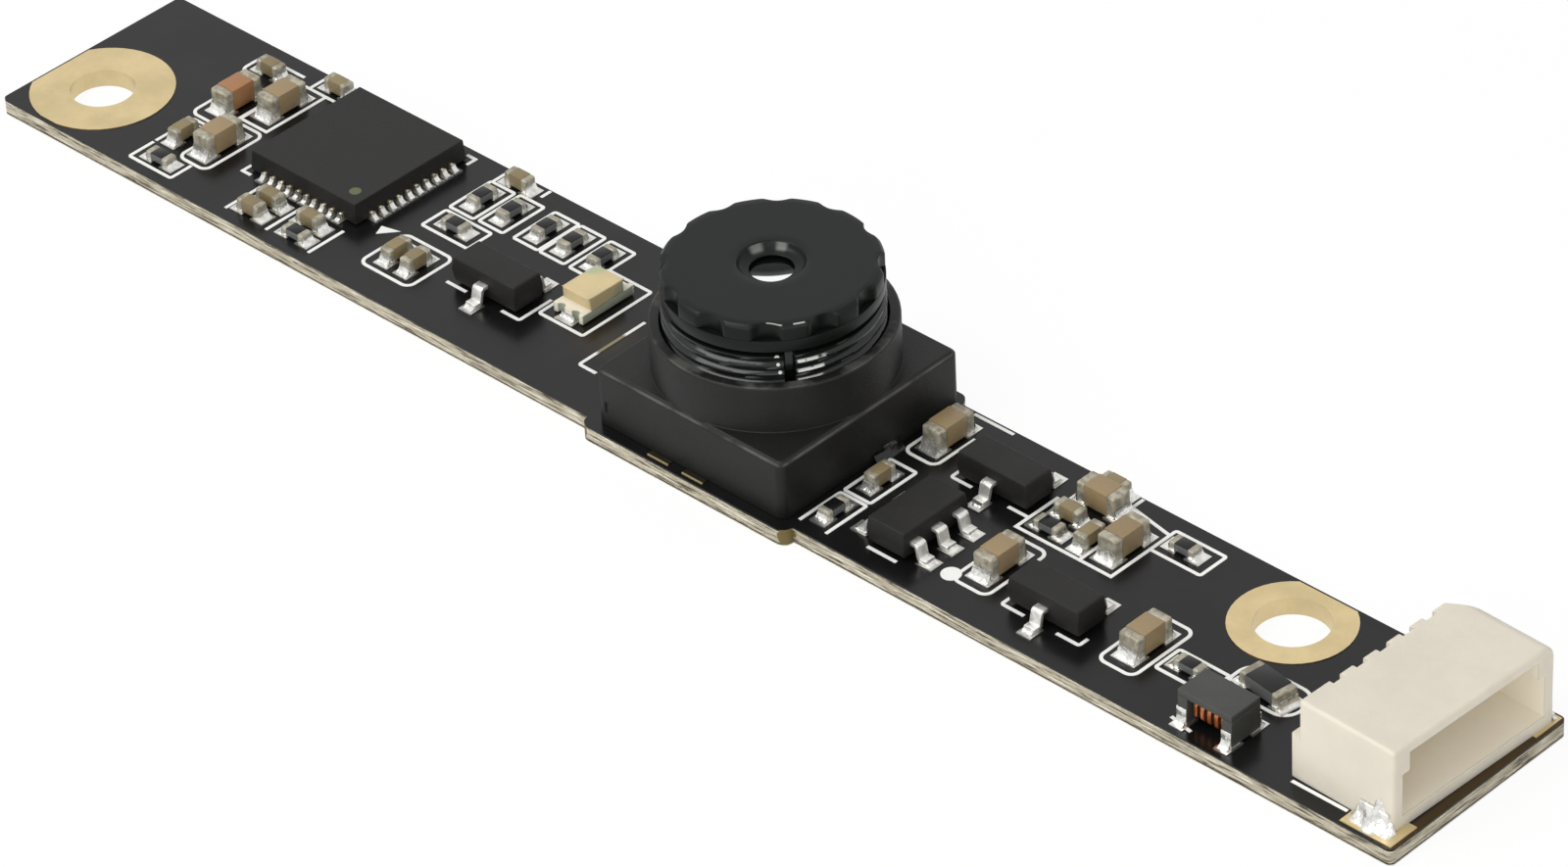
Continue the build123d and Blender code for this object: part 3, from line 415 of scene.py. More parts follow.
def land_finish(colours):
    """Gold where a land is bare, tinned where a part is soldered to it."""
    f = Finish("lands")
    across = f.axis("Y")
    front = across < BARE_FRONT
    bare = (front + (f.axis("X") > BARE_END)) > 0.5
    coated = front * across.between(BARE_FRONT - 0.24, BARE_FRONT - 0.2)
    wet = f.noise(2.4, 3.0, 0.6)
    tone = f.over(shade(colours.solder, 0.95), (bare, colours.gold), (coated, COATED_LAND))
    f.grained(tone, wet, 0.22, 0.2, 0.01)
    f.set(Metallic=(1 - bare * 0.5) * (1 - coated))


def ink_finish(colours):
    """Printed ink, thin in places so that the lacquer greys it."""
    f = Finish("ink", Specular_IOR_Level=0.3)
    thin = f.noise(3.0, 5.0, 0.7)
    grain = f.noise(16.0, 3.0, 0.6)
    tone = f.over(
        colours.ink,
        (thin.between(0.58, 0.8) * 0.4, THIN_INK),
        (f.near(WORN_INK, 0.75).between(0.05, 0.3), YELLOWED_INK),
    )
    f.grained(tone, grain, 0.5, 0.2, 0.008)


def solder_finish(name, colour, rough, patchy, metal):
    """Bright solder, duller in patches where it froze rough."""
    f = Finish(name, Metallic=metal)
    flow = f.noise(2.6, 2.0, 0.5)
    frost = f.noise(5.0, 4.0, 0.6)
    f.set(
        Base_Color=f.over(
            shade(colour, 1.05), (frost.between(0.4, 0.62) * patchy, shade(colour, 0.36))
        ),
        Roughness=rough + frost * 0.16,
        Normal=f.bump(flow + frost * 0.25, 0.06),
    )


def end_finish(colours):
    """Chip ends: dull and warm above, bright where the solder climbs them."""
    f = Finish("chip_ends", Specular_IOR_Level=0.5)
    frost = f.noise(4.0, 4.0, 0.6)
    wet = 1 - (f.axis("Z") + frost * 0.5).between(DECK + 0.3, DECK + 0.62)
    dull = f.over(DULL_TIN, (frost.between(0.35, 0.65), PALE_TIN))
    bright = f.over(
        shade(colours.solder, 1.1),
        (frost.between(0.45, 0.62) * 0.5, shade(colours.solder, 0.4)),
    )
    f.set(
        Base_Color=f.over(dull, (wet, bright)),
        Metallic=wet * 0.7 + 0.3,
        Roughness=0.42 - wet * 0.2 + frost * 0.1,
        Normal=f.bump(frost, 0.06),
    )


def holder_finish(colours):
    """Satin holder plastic, with painted highlights along the edges of its plate and its collar.
    """
    f = Finish("holder_plastic", Specular_IOR_Level=0.26)
    grain = f.noise(16.0, 3.0, 0.6)
    cloud = f.noise(0.6, 3.0, 0.6)
    height = f.axis("Z")
    half = (holder_high.y - holder_low.y) / 2
    rim_x = abs(f.axis("X") - LENS_X).between(half - 0.1, half - 0.04)
    rim_y = abs(f.axis("Y")).between(half - 0.1, half - 0.04)
    rim_z = height.within(PLATE_TOP - 0.15, PLATE_TOP - 0.08, PLATE_TOP + 0.01, PLATE_TOP + 0.03)
    # Painted highlights: lighter lines along the plate's edges and along the collar's top rim
    plate = (rim_x * rim_y + rim_x * rim_z + rim_y * rim_z) * cloud.between(0.35, 0.6)
    collar = height.between(COLLAR_TOP - 0.04, COLLAR_TOP - 0.02) * cloud.between(0.46, 0.62)
    plastic = f.clouded(colours.holder, 1.5, cloud)
    tone = f.over(plastic, (plate * 0.6 + collar * 0.4, PAINTED_EDGE_HIGHLIGHT))
    f.grained(tone, grain, 0.42, 0.14, 0.012)


def ceramic_finish(name, low, high):
    """Fired ceramic: its shade varies from chip to chip and a little within each."""
    f = Finish(name, Specular_IOR_Level=0.45)
    grain = f.noise(9.0, 5.0, 0.7)
    tone = f.over(
        low,
        (f.stored("tint"), shade(low, 1.3)),
        (f.stored("warmth"), high),
        (grain.between(0.4, 0.75) * 0.4, shade(low, 1.5)),
    )
    f.grained(tone, grain, 0.36, 0.2, 0.012)


def plastic_finish(name, colour, rough, grain_scale, grain_depth, lighter=1.5, specular=0.5):
    """Moulded plastic with a fine grain and slight clouding."""
    f = Finish(name, Specular_IOR_Level=specular)
    tone = f.clouded(colour, lighter, f.noise(0.6, 3.0, 0.6))
    f.grained(tone, f.noise(grain_scale, 3.0, 0.6), rough, 0.14, grain_depth)


def socket_finish(colours):
    """Creamy moulded nylon that light soaks into, with painted light making it paler inside its
    mouth.
    """
    f = Finish(
        "socket_plastic", Specular_IOR_Level=0.4, Subsurface_Weight=0.35,
        Subsurface_Scale=0.4 * MM, Subsurface_Radius=(1.0, 0.8, 0.6),
    )
    cloud = f.noise(0.5, 3.0, 0.6)
    grain = f.noise(15.0, 3.0, 0.6)
    speck = f.node(
        "ShaderNodeTexVoronoi", {"feature": "F1"}, {"Vector": f.place, "Scale": 3.0}
    )
    out = f.axis("X") * cos(SOCKET_TURN) + f.axis("Y") * sin(SOCKET_TURN)
    across = f.axis("Y") * cos(SOCKET_TURN) - f.axis("X") * sin(SOCKET_TURN)
    middle = (socket_low + socket_high) / 2
    row = middle.y * cos(SOCKET_TURN) - middle.x * sin(SOCKET_TURN)
    roof, wall, depth = socket_high.z - 0.33, 3.18, 3.2
    # Painted light: the inside of the mouth is coloured paler, as if lit
    inside = (
        across.around(row, wall - 0.06, wall)
        * (1 - f.axis("Z").between(roof - 0.03, roof))
        * out.within(
            SOCKET_MOUTH - depth, SOCKET_MOUTH - depth + 0.1,
            SOCKET_MOUTH - 0.06, SOCKET_MOUTH - 0.03,
        )
    )
    f.set(
        Base_Color=f.over(
            shade(colours.socket, 0.8),
            (speck.between(0.0, 0.06), f.clouded(colours.socket, 1.07, cloud)),
            (inside, LIT_NYLON),
        ),
        Roughness=0.42 + cloud * 0.12,
        Normal=f.bump(grain + cloud * 2, 0.006),
    )


def glass_finish(name, colour, coat=0.0):
    """Polished glass, a trace of dust on it."""
    f = Finish(
        name, Transmission_Weight=1.0, IOR=1.7, Coat_Weight=coat, Coat_Roughness=0.02,
        Coat_IOR=2.6,
    )
    dust = f.noise(5.0, 5.0, 0.7)
    f.set(
        Base_Color=f.over(colour, (dust.between(0.6, 0.8) * 0.2, shade(colour, 0.8))),
        Roughness=dust.between(0.6, 0.85) * 0.06,
    )


def front_glass_finish():
    """Coated front glass: painted dark for the shaded inside of the lens, with a painted
    reflection, a bright band, over its near rim.
    """
    f = Finish("front_glass", IOR=1.5, Specular_IOR_Level=0.1)
    dust = f.noise(6.0, 4.0, 0.6)
    turn, offset, depth = DARK_MIDDLE
    centre = (LENS_X - offset * sin(turn), offset * cos(turn), CAP_TOP - depth)
    dark = f.near(centre, 4.0)
    # Painted reflection: a bright mirror band over the near rim, with a faint grey fringe inside
    # it
    band = 1 - dark.between(0.545, 0.558)
    fringe = (1 - dark.between(0.545, 0.63)) * 0.08
    f.set(
        Base_Color=f.over(PAINTED_SHADE_GLASS, (fringe, PAINTED_REFLECTION_GREY), (band, LIT_GLASS)),
        Metallic=band,
        Roughness=0.04 + dust * 0.05,
    )


def lens_finish(colours, pitch):
    """Fine satin on the cap, polished thread, and painted highlights on both."""
    f = Finish("lens_plastic", Specular_IOR_Level=0.2, Coat_Roughness=0.1)
    grain = f.noise(24.0, 3.0, 0.6)
    cloud = f.noise(0.6, 3.0, 0.6)
    ragged = f.noise(1.6, 3.0, 0.6)
    broken = f.noise(5.0, 2.0, 0.5).between(0.3, 0.36)
    height, east, north = f.axis("Z"), f.axis("X") - LENS_X, f.axis("Y")
    turn = f.maths("ARCTAN2", north, east)
    thread = 1 - height.between(CAP_TOP - 1.2, CAP_TOP - 1.1)
    flank = f.maths("FRACT", (height - barrel_low.z) / pitch - turn / (2 * pi))
    past_slot = turn.between(radians(-34.5), radians(-33.5)) * (
        1 - (turn + ragged * 0.5).between(radians(-8), radians(-3)))
    # Painted highlights: strips on the thread's crests past the slot
    crest_highlights = past_slot * flank.within(0.5, 0.56, 0.72, 0.8) * broken * thread
    # Painted glints by the slot
    slot_glints = sum(
        f.near((LENS_X + right, back, CAP_TOP - depth), reach)
        for right, back, depth, reach in SLOT_GLINTS
    ).between(0.1, 0.3)
    # Painted glints along the cap's top rim at a few angles
    brink = height.within(CAP_TOP - 0.05, CAP_TOP - 0.035, CAP_TOP - 0.012, CAP_TOP - 0.004)
    rim_glints = sum(turn.around(*map(radians, glint)) for glint in RIM_GLINTS)
    # Painted light patches in the mouth's hollow
    mouth = height.within(CAP_TOP - RECESS, CAP_TOP - 0.2, CAP_TOP - 0.06, CAP_TOP - 0.02)
    mouth = mouth * (1 - (east * east + north * north).between(1.16, 1.2))
    mouth_light = sum(turn.around(*map(radians, light_patch)) for light_patch in MOUTH_LIGHT_PATCHES)
    f.set(
        Base_Color=f.over(
            f.clouded(colours.lens, 1.35, cloud),
            (crest_highlights + slot_glints, LIT_STREAK),
            (rim_glints * brink * 0.8, LIT_RIM_GLINT),
            (mouth * mouth_light * 0.5, LIT_MOUTH),
        ),
        Roughness=0.3 + grain * 0.14 - thread * 0.14,
        Coat_Weight=thread * 0.4,
        Normal=f.bump(grain, 0.003),
    )


def resin_finish(colours):
    """Cast resin, yellower in its middle and green at two of its corners."""
    f = Finish("light_resin", Specular_IOR_Level=0.5, Coat_Weight=0.4, Coat_Roughness=0.12)
    cloud = f.noise(1.6, 4.0, 0.6)
    low, high = node_box("light_top")
    green = f.near((low.x, high.y, high.z), 0.75) + f.near((high.x, high.y, low.z), 0.7) * 0.7
    tone = f.over(
        f.clouded(colours.resin, 1.15, cloud),
        (f.near((low + high) / 2, 1.0) * 0.5, RESIN_GLOW),
        (green.between(0.1, 0.5) * 0.7, GREEN_RESIN),
    )
    f.grained(tone, cloud, 0.28, 0.2, 0.02)


def controller_finish(colours):
    """The controller's moulding, with a round pin-one mark near its first corner."""
    f = Finish("controller_moulding", Specular_IOR_Level=0.24)
    grain = f.noise(20.0, 3.0, 0.6)
    low, high = node_box("controller_body")
    inset, radius = 0.62, 0.21
    mark = f.near((high.x - inset, low.y + inset, high.z), radius).between(0.0, 0.08)
    f.grained(f.over(colours.moulding, (mark, PIN_MARK)), grain, 0.42, 0.16, 0.012)


def copper_finish(colours):
    """Enamelled copper wire."""
    f = Finish("copper_wire", Metallic=0.85, Coat_Weight=0.6, Coat_Roughness=0.1)
    cloud = f.noise(3.0, 3.0, 0.6)
    f.set(
        Base_Color=f.over(shade(colours.copper, 0.8), (cloud, shade(colours.copper, 1.1))),
        Roughness=0.25 + cloud * 0.15,
    )


def make_finishes(colours, lens_sizes):
    """Fills finishes, from the module's colours."""
    for finish in (
        mask_finish, gold_finish, land_finish, ink_finish, end_finish, holder_finish,
        socket_finish, resin_finish, controller_finish, copper_finish,
    ):
        finish(colours)
    lens_finish(colours, lens_sizes.pitch / MM)
    front_glass_finish()
    gilded = tuple(part * warm for part, warm in zip(colours.solder, GILDING))
    for name, colour, rough, patchy, metal in (
        ("solder", colours.solder, 0.14, 0.35, 0.85),
        ("lead_tin", colours.solder, 0.24, 0.12, 0.65),
        ("gilt_tin", gilded, 0.2, 0.5, 0.85),
    ):
        solder_finish(name, colour, rough, patchy, metal)
    ceramic_finish("brown_ceramic", colours.ceramic, colours.ceramic_warm)
    ceramic_finish("tan_ceramic", colours.dark_ceramic, colours.ceramic)
    # Name, colour, roughness, grain's scale and depth, how much lighter its clouds are, shine
    for plastic in (
        ("grey_ceramic", linear(92, 94, 92), 0.4, 12.0, 0.008, 1.2, 0.4),
        ("black_glaze", linear(15, 15, 16), 0.2, 18.0, 0.004, 1.4, 0.3),
        ("dark_coat", linear(20, 20, 21), 0.24, 14.0, 0.006, 1.5, 0.3),
        ("moulding", colours.moulding, 0.5, 20.0, 0.014, 1.4, 0.24),
        ("black_foil", shade(colours.moulding, 0.55), 0.6, 20.0, 0.006),
        ("glue", linear(14, 14, 14), 0.08, 3.0, 0.02, 1.4, 0.4),
        ("ferrite", linear(58, 59, 56), 0.45, 16.0, 0.012, 1.25, 0.35),
        ("silicon", linear(52, 56, 66), 0.15, 30.0, 0.002),
        ("light_base", linear(150, 156, 138), 0.35, 10.0, 0.01, 1.2),
        ("cream_terminal", linear(226, 220, 200), 0.3, 6.0, 0.02, 1.08),
    ):
        plastic_finish(*plastic)
    glass_finish("glass", (0.95, 0.97, 0.96, 1.0))
    glass_finish("coated_glass", (0.9, 0.95, 0.93, 1.0), 0.3)
    glass_finish("filter_glass", (0.75, 0.93, 0.95, 1.0))


# Making and placing pieces

CREASE = 32.0  # edges sharper than this, in degrees, are rounded or kept crisp


def shown(name, data):
    """A new object in the scene."""
    made = bpy.data.objects.new(name, data)
    bpy.context.scene.collection.objects.link(made)
    return made


def coat(mesh, finish):
    mesh.materials.clear()
    mesh.materials.append(finishes[finish])


def dress(finish, *nodes):
    for node in nodes:
        coat(NODES[node].data, finish)


def placed(name, mesh, finish, body, node):
    """Puts a mesh on its body as one piece that stands for a CAD node."""
    coat(mesh, finish)
    made = shown(name, mesh)
    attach(made, body)
    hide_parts(node)
    return made


def creased(mesh, angle=CREASE):
    """The mesh smooth, apart from its edges sharper than an angle."""
    mesh.shade_smooth()
    mesh.set_sharp_from_angle(angle=radians(angle))
    return mesh


def evaluated(carrier):
    """The mesh that an object's modifiers make of it. The object goes."""
    depsgraph = bpy.context.evaluated_depsgraph_get()
    mesh = bpy.data.meshes.new_from_object(carrier.evaluated_get(depsgraph))
    bpy.data.objects.remove(carrier)
    return mesh


def mesh_from(shape):
    """Closes a bmesh made in millimetres into a mesh in metres."""
    bmesh.ops.scale(shape, vec=(MM, MM, MM), verts=shape.verts)
    bmesh.ops.recalc_face_normals(shape, faces=shape.faces)
    mesh = bpy.data.meshes.new("shape")
    shape.to_mesh(mesh)
    shape.free()
    return mesh


def merged_copy(node):
    """A CAD node's mesh with its corners joined."""
    shape = bmesh.new()
    shape.from_mesh(NODES[node].data)
    bmesh.ops.remove_doubles(shape, verts=shape.verts, dist=1e-7)
    return shape


def islands(shape):
    """The separate solids of a shape, each as its corners."""
    shape.verts.ensure_lookup_table()
    seen, found = set(), []
    for start in shape.verts:
        if start in seen:
            continue
        seen.add(start)
        queue, corners = [start], []
        while queue:
            corner = queue.pop()
            corners.append(corner)
            for edge in corner.link_edges:
                other = edge.other_vert(corner)
                if other not in seen:
                    seen.add(other)
                    queue.append(other)
        found.append(corners)
    return found


def node_islands(node):
    """The separate solids of a CAD node, each as its corners' places in millimetres."""
    shape = merged_copy(node)
    found = [[corner.co / MM for corner in corners] for corners in islands(shape)]
    shape.free()
    return found


def slim(shape, share):
    """Narrows each separate strip of a shape to a share of its width."""
    for strip in islands(shape):
        spans = []
        for axis in (0, 1):
            values = [corner.co[axis] for corner in strip]
            spans.append((max(values) - min(values), axis, (max(values) + min(values)) / 2))
        _, axis, middle = min(spans)
        for corner in strip:
            corner.co[axis] = middle + (corner.co[axis] - middle) * share


def softened(node, finish, edge, segments=3, slimmer=None):
    """Stands for a CAD node, with its sharp edges rounded and its strips slimmer."""
    shape = merged_copy(node)
    bmesh.ops.dissolve_limit(
        shape, angle_limit=radians(0.5), verts=shape.verts, edges=shape.edges
    )
    if slimmer:
        slim(shape, slimmer)
    mesh = bpy.data.meshes.new(node)
    shape.to_mesh(mesh)
    shape.free()
    mesh.shade_smooth()
    carrier = shown("work", mesh)
    bevel = carrier.modifiers.new("Edges", "BEVEL")
    bevel.width = edge * MM
    bevel.segments = segments
    bevel.limit_method = "ANGLE"
    bevel.angle_limit = radians(CREASE)
    carrier.modifiers.new("Shading", "WEIGHTED_NORMAL")
    return placed(node + "_piece", evaluated(carrier), finish, "root", node)


def block_places(node):
    """Where each block of a node stands: its middle on its lowest face, and its turn."""
    places = []
    for corners in node_islands(node):
        low = min(corner.z for corner in corners)
        ring = [corner for corner in corners if corner.z < low + 1e-3]
        middle = sum(ring, Vector()) / len(ring)
        first = ring[0]
        sides = sorted((other - first for other in ring[1:]), key=lambda side: side.length)
        along = sides[1] if len(sides) > 1 else sides[0]
        places.append((middle.x, middle.y, low, atan2(along.y, along.x)))
    return places


def rounded_block(shape, middle, size, edge, segments=2):
    """Adds a block with rounded edges, its middle at the given point."""
    made = bmesh.ops.create_cube(shape, size=1.0)
    bmesh.ops.scale(shape, vec=size, verts=made["verts"])
    bmesh.ops.translate(shape, vec=middle, verts=made["verts"])
    edges = {edge for corner in made["verts"] for edge in corner.link_edges}
    bmesh.ops.bevel(
        shape, geom=list(edges), offset=edge, segments=segments, profile=0.5,
        affect="EDGES", clamp_overlap=True,
    )


def bead(shape, foot, outward, half, reach, climb, turn, steps=28, rows=10):
    """Adds lumpy solder that climbs a wall from its foot and runs out over the land."""
    rim = 0.015

    def place(step, row):
        """How far along, how far out and how high the solder's skin is there."""
        share, out = 2 * step / steps - 1, row / rows
        swell = sqrt(max(0.0, 1 - share * share))
        lump = 1 + 0.22 * sin(5.1 * share + 3.7 * out) + 0.12 * sin(11.0 * share - 6.0 * out)
        height = rim + climb * (0.25 + 0.75 * swell) * swell * (1 - out) ** 1.7 * lump
        spread = reach * (0.35 + 0.65 * swell) * (1 + 0.12 * sin(7.0 * share + 1.0))
        return share * half, outward * out * spread, height

    def corner(x, y, z):
        return shape.verts.new((
            foot[0] + x * cos(turn) - y * sin(turn),
            foot[1] + x * sin(turn) + y * cos(turn),
            foot[2] + z,
        ))

    grid = [[place(step, row) for row in range(rows + 1)] for step in range(steps + 1)]
    tops = [[corner(*point) for point in column] for column in grid]
    lows = [[corner(x, y, 0.0) for x, y, z in column] for column in grid]
    for step in range(steps):
        for row in range(rows):
            shape.faces.new((tops[step][row], tops[step + 1][row],
                             tops[step + 1][row + 1], tops[step][row + 1]))
            shape.faces.new((lows[step][row], lows[step][row + 1],
                             lows[step + 1][row + 1], lows[step + 1][row]))
        for row in (0, rows):
            shape.faces.new((tops[step][row], lows[step][row],
                             lows[step + 1][row], tops[step + 1][row]))
    for step in (0, steps):
        for row in range(rows):
            shape.faces.new((tops[step][row], tops[step][row + 1],
                             lows[step][row + 1], lows[step][row]))


REPEATER = "Repeat on places"


def repeater():
    """Node group: copies a shape onto points, each turned, sized and tinted on its own."""
    tree = bpy.data.node_groups.new(REPEATER, "GeometryNodeTree")
    for name, kind in (
        ("Places", "Geometry"), ("Shape", "Object"), ("Finish", "Material"),
        ("Unevenness", "Float"), ("Seed", "Int"),
    ):
        tree.interface.new_socket(name, in_out="INPUT", socket_type=f"NodeSocket{kind}")
    tree.interface.new_socket("Result", in_out="OUTPUT", socket_type="NodeSocketGeometry")
    given = add_node(tree, "NodeGroupInput").outputs

    def add(kind, values=(), output=0, **settings):
        return add_node(tree, kind, settings, values).outputs[output]

    turn = add("GeometryNodeInputNamedAttribute", ["turn"], data_type="FLOAT")
    spin = add("FunctionNodeEulerToRotation", [add("ShaderNodeCombineXYZ", {"Z": turn})])
    smallest = add("ShaderNodeMath", [1.0, given["Unevenness"]], operation="SUBTRACT")
    scale = add(
        "FunctionNodeRandomValue", {0: smallest, 1: (1.0, 1.0, 1.0), "Seed": given["Seed"]},
        data_type="FLOAT_VECTOR",
    )
    shape = add(
        "GeometryNodeObjectInfo", {"Object": given["Shape"]}, "Geometry",
        transform_space="ORIGINAL",
    )
    copies = add("GeometryNodeInstanceOnPoints", {
        "Points": given["Places"], "Instance": shape, "Rotation": spin, "Scale": scale,
    })
    tint = add("FunctionNodeRandomValue", {"Seed": given["Seed"]}, 1, data_type="FLOAT")
    tinted = add(
        "GeometryNodeStoreNamedAttribute", {"Geometry": copies, "Name": "tint", "Value": tint},
        data_type="FLOAT", domain="INSTANCE",
    )
    real = add("GeometryNodeRealizeInstances", [tinted])
    coated = add("GeometryNodeSetMaterial", {"Geometry": real, "Material": given["Finish"]})
    add_node(tree, "NodeGroupOutput", {}, [coated])
    return tree


def repeated(name, template, places, finish, node, seed, uneven=0.0, warmth=()):
    """One mesh of a template repeated at places, each X, Y, Z and a turn."""
    tree = bpy.data.node_groups.get(REPEATER) or repeater()
    points = bpy.data.meshes.new(name + "_places")
    points.from_pydata([Vector(place[:3]) * MM for place in places], [], [])
    stored = {"turn": [place[3] for place in places], "warmth": warmth}
    for key, values in stored.items():
        if values:
            points.attributes.new(key, "FLOAT", "POINT").data.foreach_set("value", values)
    shape = shown(name + "_shape", template)
    carrier = shown(name + "_carrier", points)
    modifier = carrier.modifiers.new("Repeat", "NODES")
    modifier.node_group = tree
    sockets = {item.name: item.identifier for item in tree.interface.items_tree}
    modifier[sockets["Shape"]] = shape
    modifier[sockets["Finish"]] = finishes[finish]
    modifier[sockets["Unevenness"]] = uneven
    modifier[sockets["Seed"]] = seed
    mesh = evaluated(carrier)
    bpy.data.objects.remove(shape)
    return placed(name, creased(mesh), finish, "root", node)


def turned(rows, steps, radius_at):
    """A closed ring round the lens's axis, from an outline of radii and heights."""
    shape = bmesh.new()
    rings = []
    for row in rows:
        ring = []
        for step in range(steps):
            angle = 2 * pi * step / steps
            radius = radius_at(angle, *row)
            ring.append(shape.verts.new(
                (LENS_X + radius * cos(angle), radius * sin(angle), row[1])
            ))
        rings.append(ring)
    for first, second in zip(rings, rings[1:] + rings[:1]):
        for step in range(steps):
            after = (step + 1) % steps
            shape.faces.new((first[step], first[after], second[after], second[step]))
    return shape


# Board


class CAMERA_OT_board(Operator):
    """Finish the board, its plated rings, its lands and its printed outlines"""

    bl_idname = "camera_module.board"
    bl_label = "Board"

    def execute(self, context):
        dress("solder_mask", "printed_board")
        dress("gold", "left_ring", "right_ring")
        dress("lands", "solder_lands")
        dress("ink", "white_ink")
        return {"FINISHED"}


# Lens holder


class CAMERA_OT_holder(Operator):
    """Finish the lens holder and the glue at its foot"""

    bl_idname = "camera_module.holder"
    bl_label = "Lens holder"

    def execute(self, context):
        softened("lens_holder", "holder_plastic", 0.05)
        softened("holder_glue", "glue", 0.05)
        return {"FINISHED"}


# Lens barrel

CAP_FACE = 3.38  # radius of the cap's flat top
MOUTH = 1.09
APERTURE = 0.71
REAR_BORE = 2.53
NECK = 3.25
NECK_BELOW = 1.09  # from the cap's top down to the thread
CAP_HEIGHT = 0.97
FLANGE = 0.42  # the cap's plain foot, under its flutes
RECESS = 0.26  # from the cap's top down to the aperture's lip
FLUTE_BLEND = 0.15  # roundness where a flute meets the rim
THREAD_ROWS = 96
CREST_SHARE = 1.35  # the further above 1, the flatter the thread's crests
# The mouth's hollow wall: in from the mouth's radius, and down from the cap's top
MOUTH_WALL = (
    (-0.35, 0.0), (-0.05, 0.0), (-0.012, 0.008), (0.01, 0.03), (0.045, 0.12), (0.12, 0.2),
    (0.22, 0.245),
)


def soft_least(first, second, soft):
    """The lesser of two lengths, rounded where they meet."""
    gap = max(soft - abs(first - second), 0.0) / soft
    return min(first, second) - gap * gap * soft / 4


def bore(node):
    """The radius of the seat that a glass of the lens lies in."""
    low, high = node_box(node)
    return (high.x - low.x) / 2 + 0.03


class CAMERA_OT_lens(Operator):
    """Turn the lens barrel, with its fluted cap, its thread and its recess"""

    bl_idname = "camera_module.lens"
    bl_label = "Lens barrel"

    def execute(self, context):
        sizes = context.scene.camera_lens
        flute_radius = sizes.flute_radius / MM
        flute_depth = sizes.flute_depth / MM
        edge = sizes.edge / MM
        pitch = sizes.pitch / MM
        depth = sizes.thread_depth / MM
        slot_half = sizes.slot_width / MM / 2
        rim = (barrel_high.x - barrel_low.x) / 2
        cap_low, neck_low = CAP_TOP - CAP_HEIGHT, CAP_TOP - NECK_BELOW
        thread_low = barrel_low.z
        thread_high = neck_low - 0.02
        lip_low = CAP_TOP - RECESS - 0.08
        front_low = node_box("front_glass")[0].z + 0.02
        spacer_low = node_box("spacer_ring")[0].z + 0.02

        def flute_wall(angle):
            """How far out the nearest flute leaves the rim at this angle."""
            if not sizes.flutes:
                return rim * 2
            share = 2 * pi / sizes.flutes
            off = (angle - sizes.flute_turn + share / 2) % share - share / 2
            centre = rim - flute_depth + flute_radius
            reach = flute_radius ** 2 - (centre * sin(off)) ** 2
            if reach <= 0:
                return rim * 2
            return centre * cos(off) - sqrt(reach)

        def radius_at(angle, radius, height, kind="plain"):
            """A row's radius at this angle, where the flutes, the thread or the slot cut it."""
            if kind in ("cap", "cap_edge"):
                inset = edge if kind == "cap_edge" else 0.0
                return soft_least(radius, flute_wall(angle) - inset, FLUTE_BLEND)
            if kind == "thread":
                share = ((height - thread_low) / pitch - angle / (2 * pi)) % 1
                crest = 1 - abs(2 * share - 1)
                radius = radius - depth * (1 - min(1.0, crest * CREST_SHARE))
                off = (angle - sizes.slot_turn + pi) % (2 * pi) - pi
                if abs(off) * rim < slot_half:
                    radius = min(radius, rim - depth - 0.06)
            return radius

        thread_rows = []
        for number in range(THREAD_ROWS + 1):
            height = thread_low + 0.1 + (thread_high - thread_low - 0.1) * number / THREAD_ROWS
            thread_rows.append((rim, height, "thread"))
        rows = [
            (REAR_BORE, thread_low),
            (rim - depth, thread_low),
            (rim - depth + 0.02, thread_low + 0.03),
            *thread_rows,
            (NECK + 0.04, neck_low),
            (NECK, neck_low + 0.04),
            (NECK, cap_low - 0.01),
            (NECK + 0.03, cap_low),
            (rim - edge, cap_low),
            (rim - 0.3 * edge, cap_low + 0.3 * edge),
            (rim, cap_low + edge),
            (rim, cap_low + FLANGE - 0.5 * edge),
            (rim - 0.15 * edge, cap_low + FLANGE - 0.1 * edge),
            (rim - 0.5 * edge, cap_low + FLANGE, "cap_edge"),
            (rim, cap_low + FLANGE + 0.4 * edge, "cap"),
            (rim, cap_low + FLANGE + edge, "cap"),
            (rim, CAP_TOP - 0.14, "cap"),
            (rim - 0.012, CAP_TOP - 0.12, "cap"),
            (CAP_FACE + 0.02, CAP_TOP - 0.012, "cap"),
            (CAP_FACE - 0.01, CAP_TOP, "cap_edge"),
            (CAP_FACE - 0.25, CAP_TOP),
            (CAP_FACE - 0.8, CAP_TOP),
            *((MOUTH - inward, CAP_TOP - down) for inward, down in MOUTH_WALL),
            (APERTURE + 0.03, CAP_TOP - RECESS),
            (APERTURE, CAP_TOP - RECESS - 0.02),
            (APERTURE, lip_low),
            (bore("front_glass"), lip_low),
            (bore("front_glass"), front_low),
            (bore("middle_glass"), front_low),
            (bore("middle_glass"), spacer_low),
            (REAR_BORE, spacer_low),
        ]
        mesh = creased(mesh_from(turned(rows, sizes.steps, radius_at)), 40.0)
        placed("lens_barrel_piece", mesh, "lens_plastic", "lens", "lens_barrel")
        dress("lens_plastic", "retaining_ring")
        dress("front_glass", "front_glass")
        dress("coated_glass", "middle_glass")
        dress("glass", "rear_glass")
        dress("filter_glass", "infrared_filter")
        dress("black_foil", "aperture_stop", "spacer_ring")
        return {"FINISHED"}


# Sensor


class CAMERA_OT_sensor(Operator):
    """Finish the image sensor under the lens"""

    bl_idname = "camera_module.sensor"
    bl_label = "Image sensor"

    def execute(self, context):
        dress("silicon", "image_sensor")
        dress("glass", "sensor_cover_glass")
        dress("solder", "sensor_solder_balls")
        return {"FINISHED"}


# Ceramic chips. Each kind: its size, the length of a metal end, its finish, slot and seed

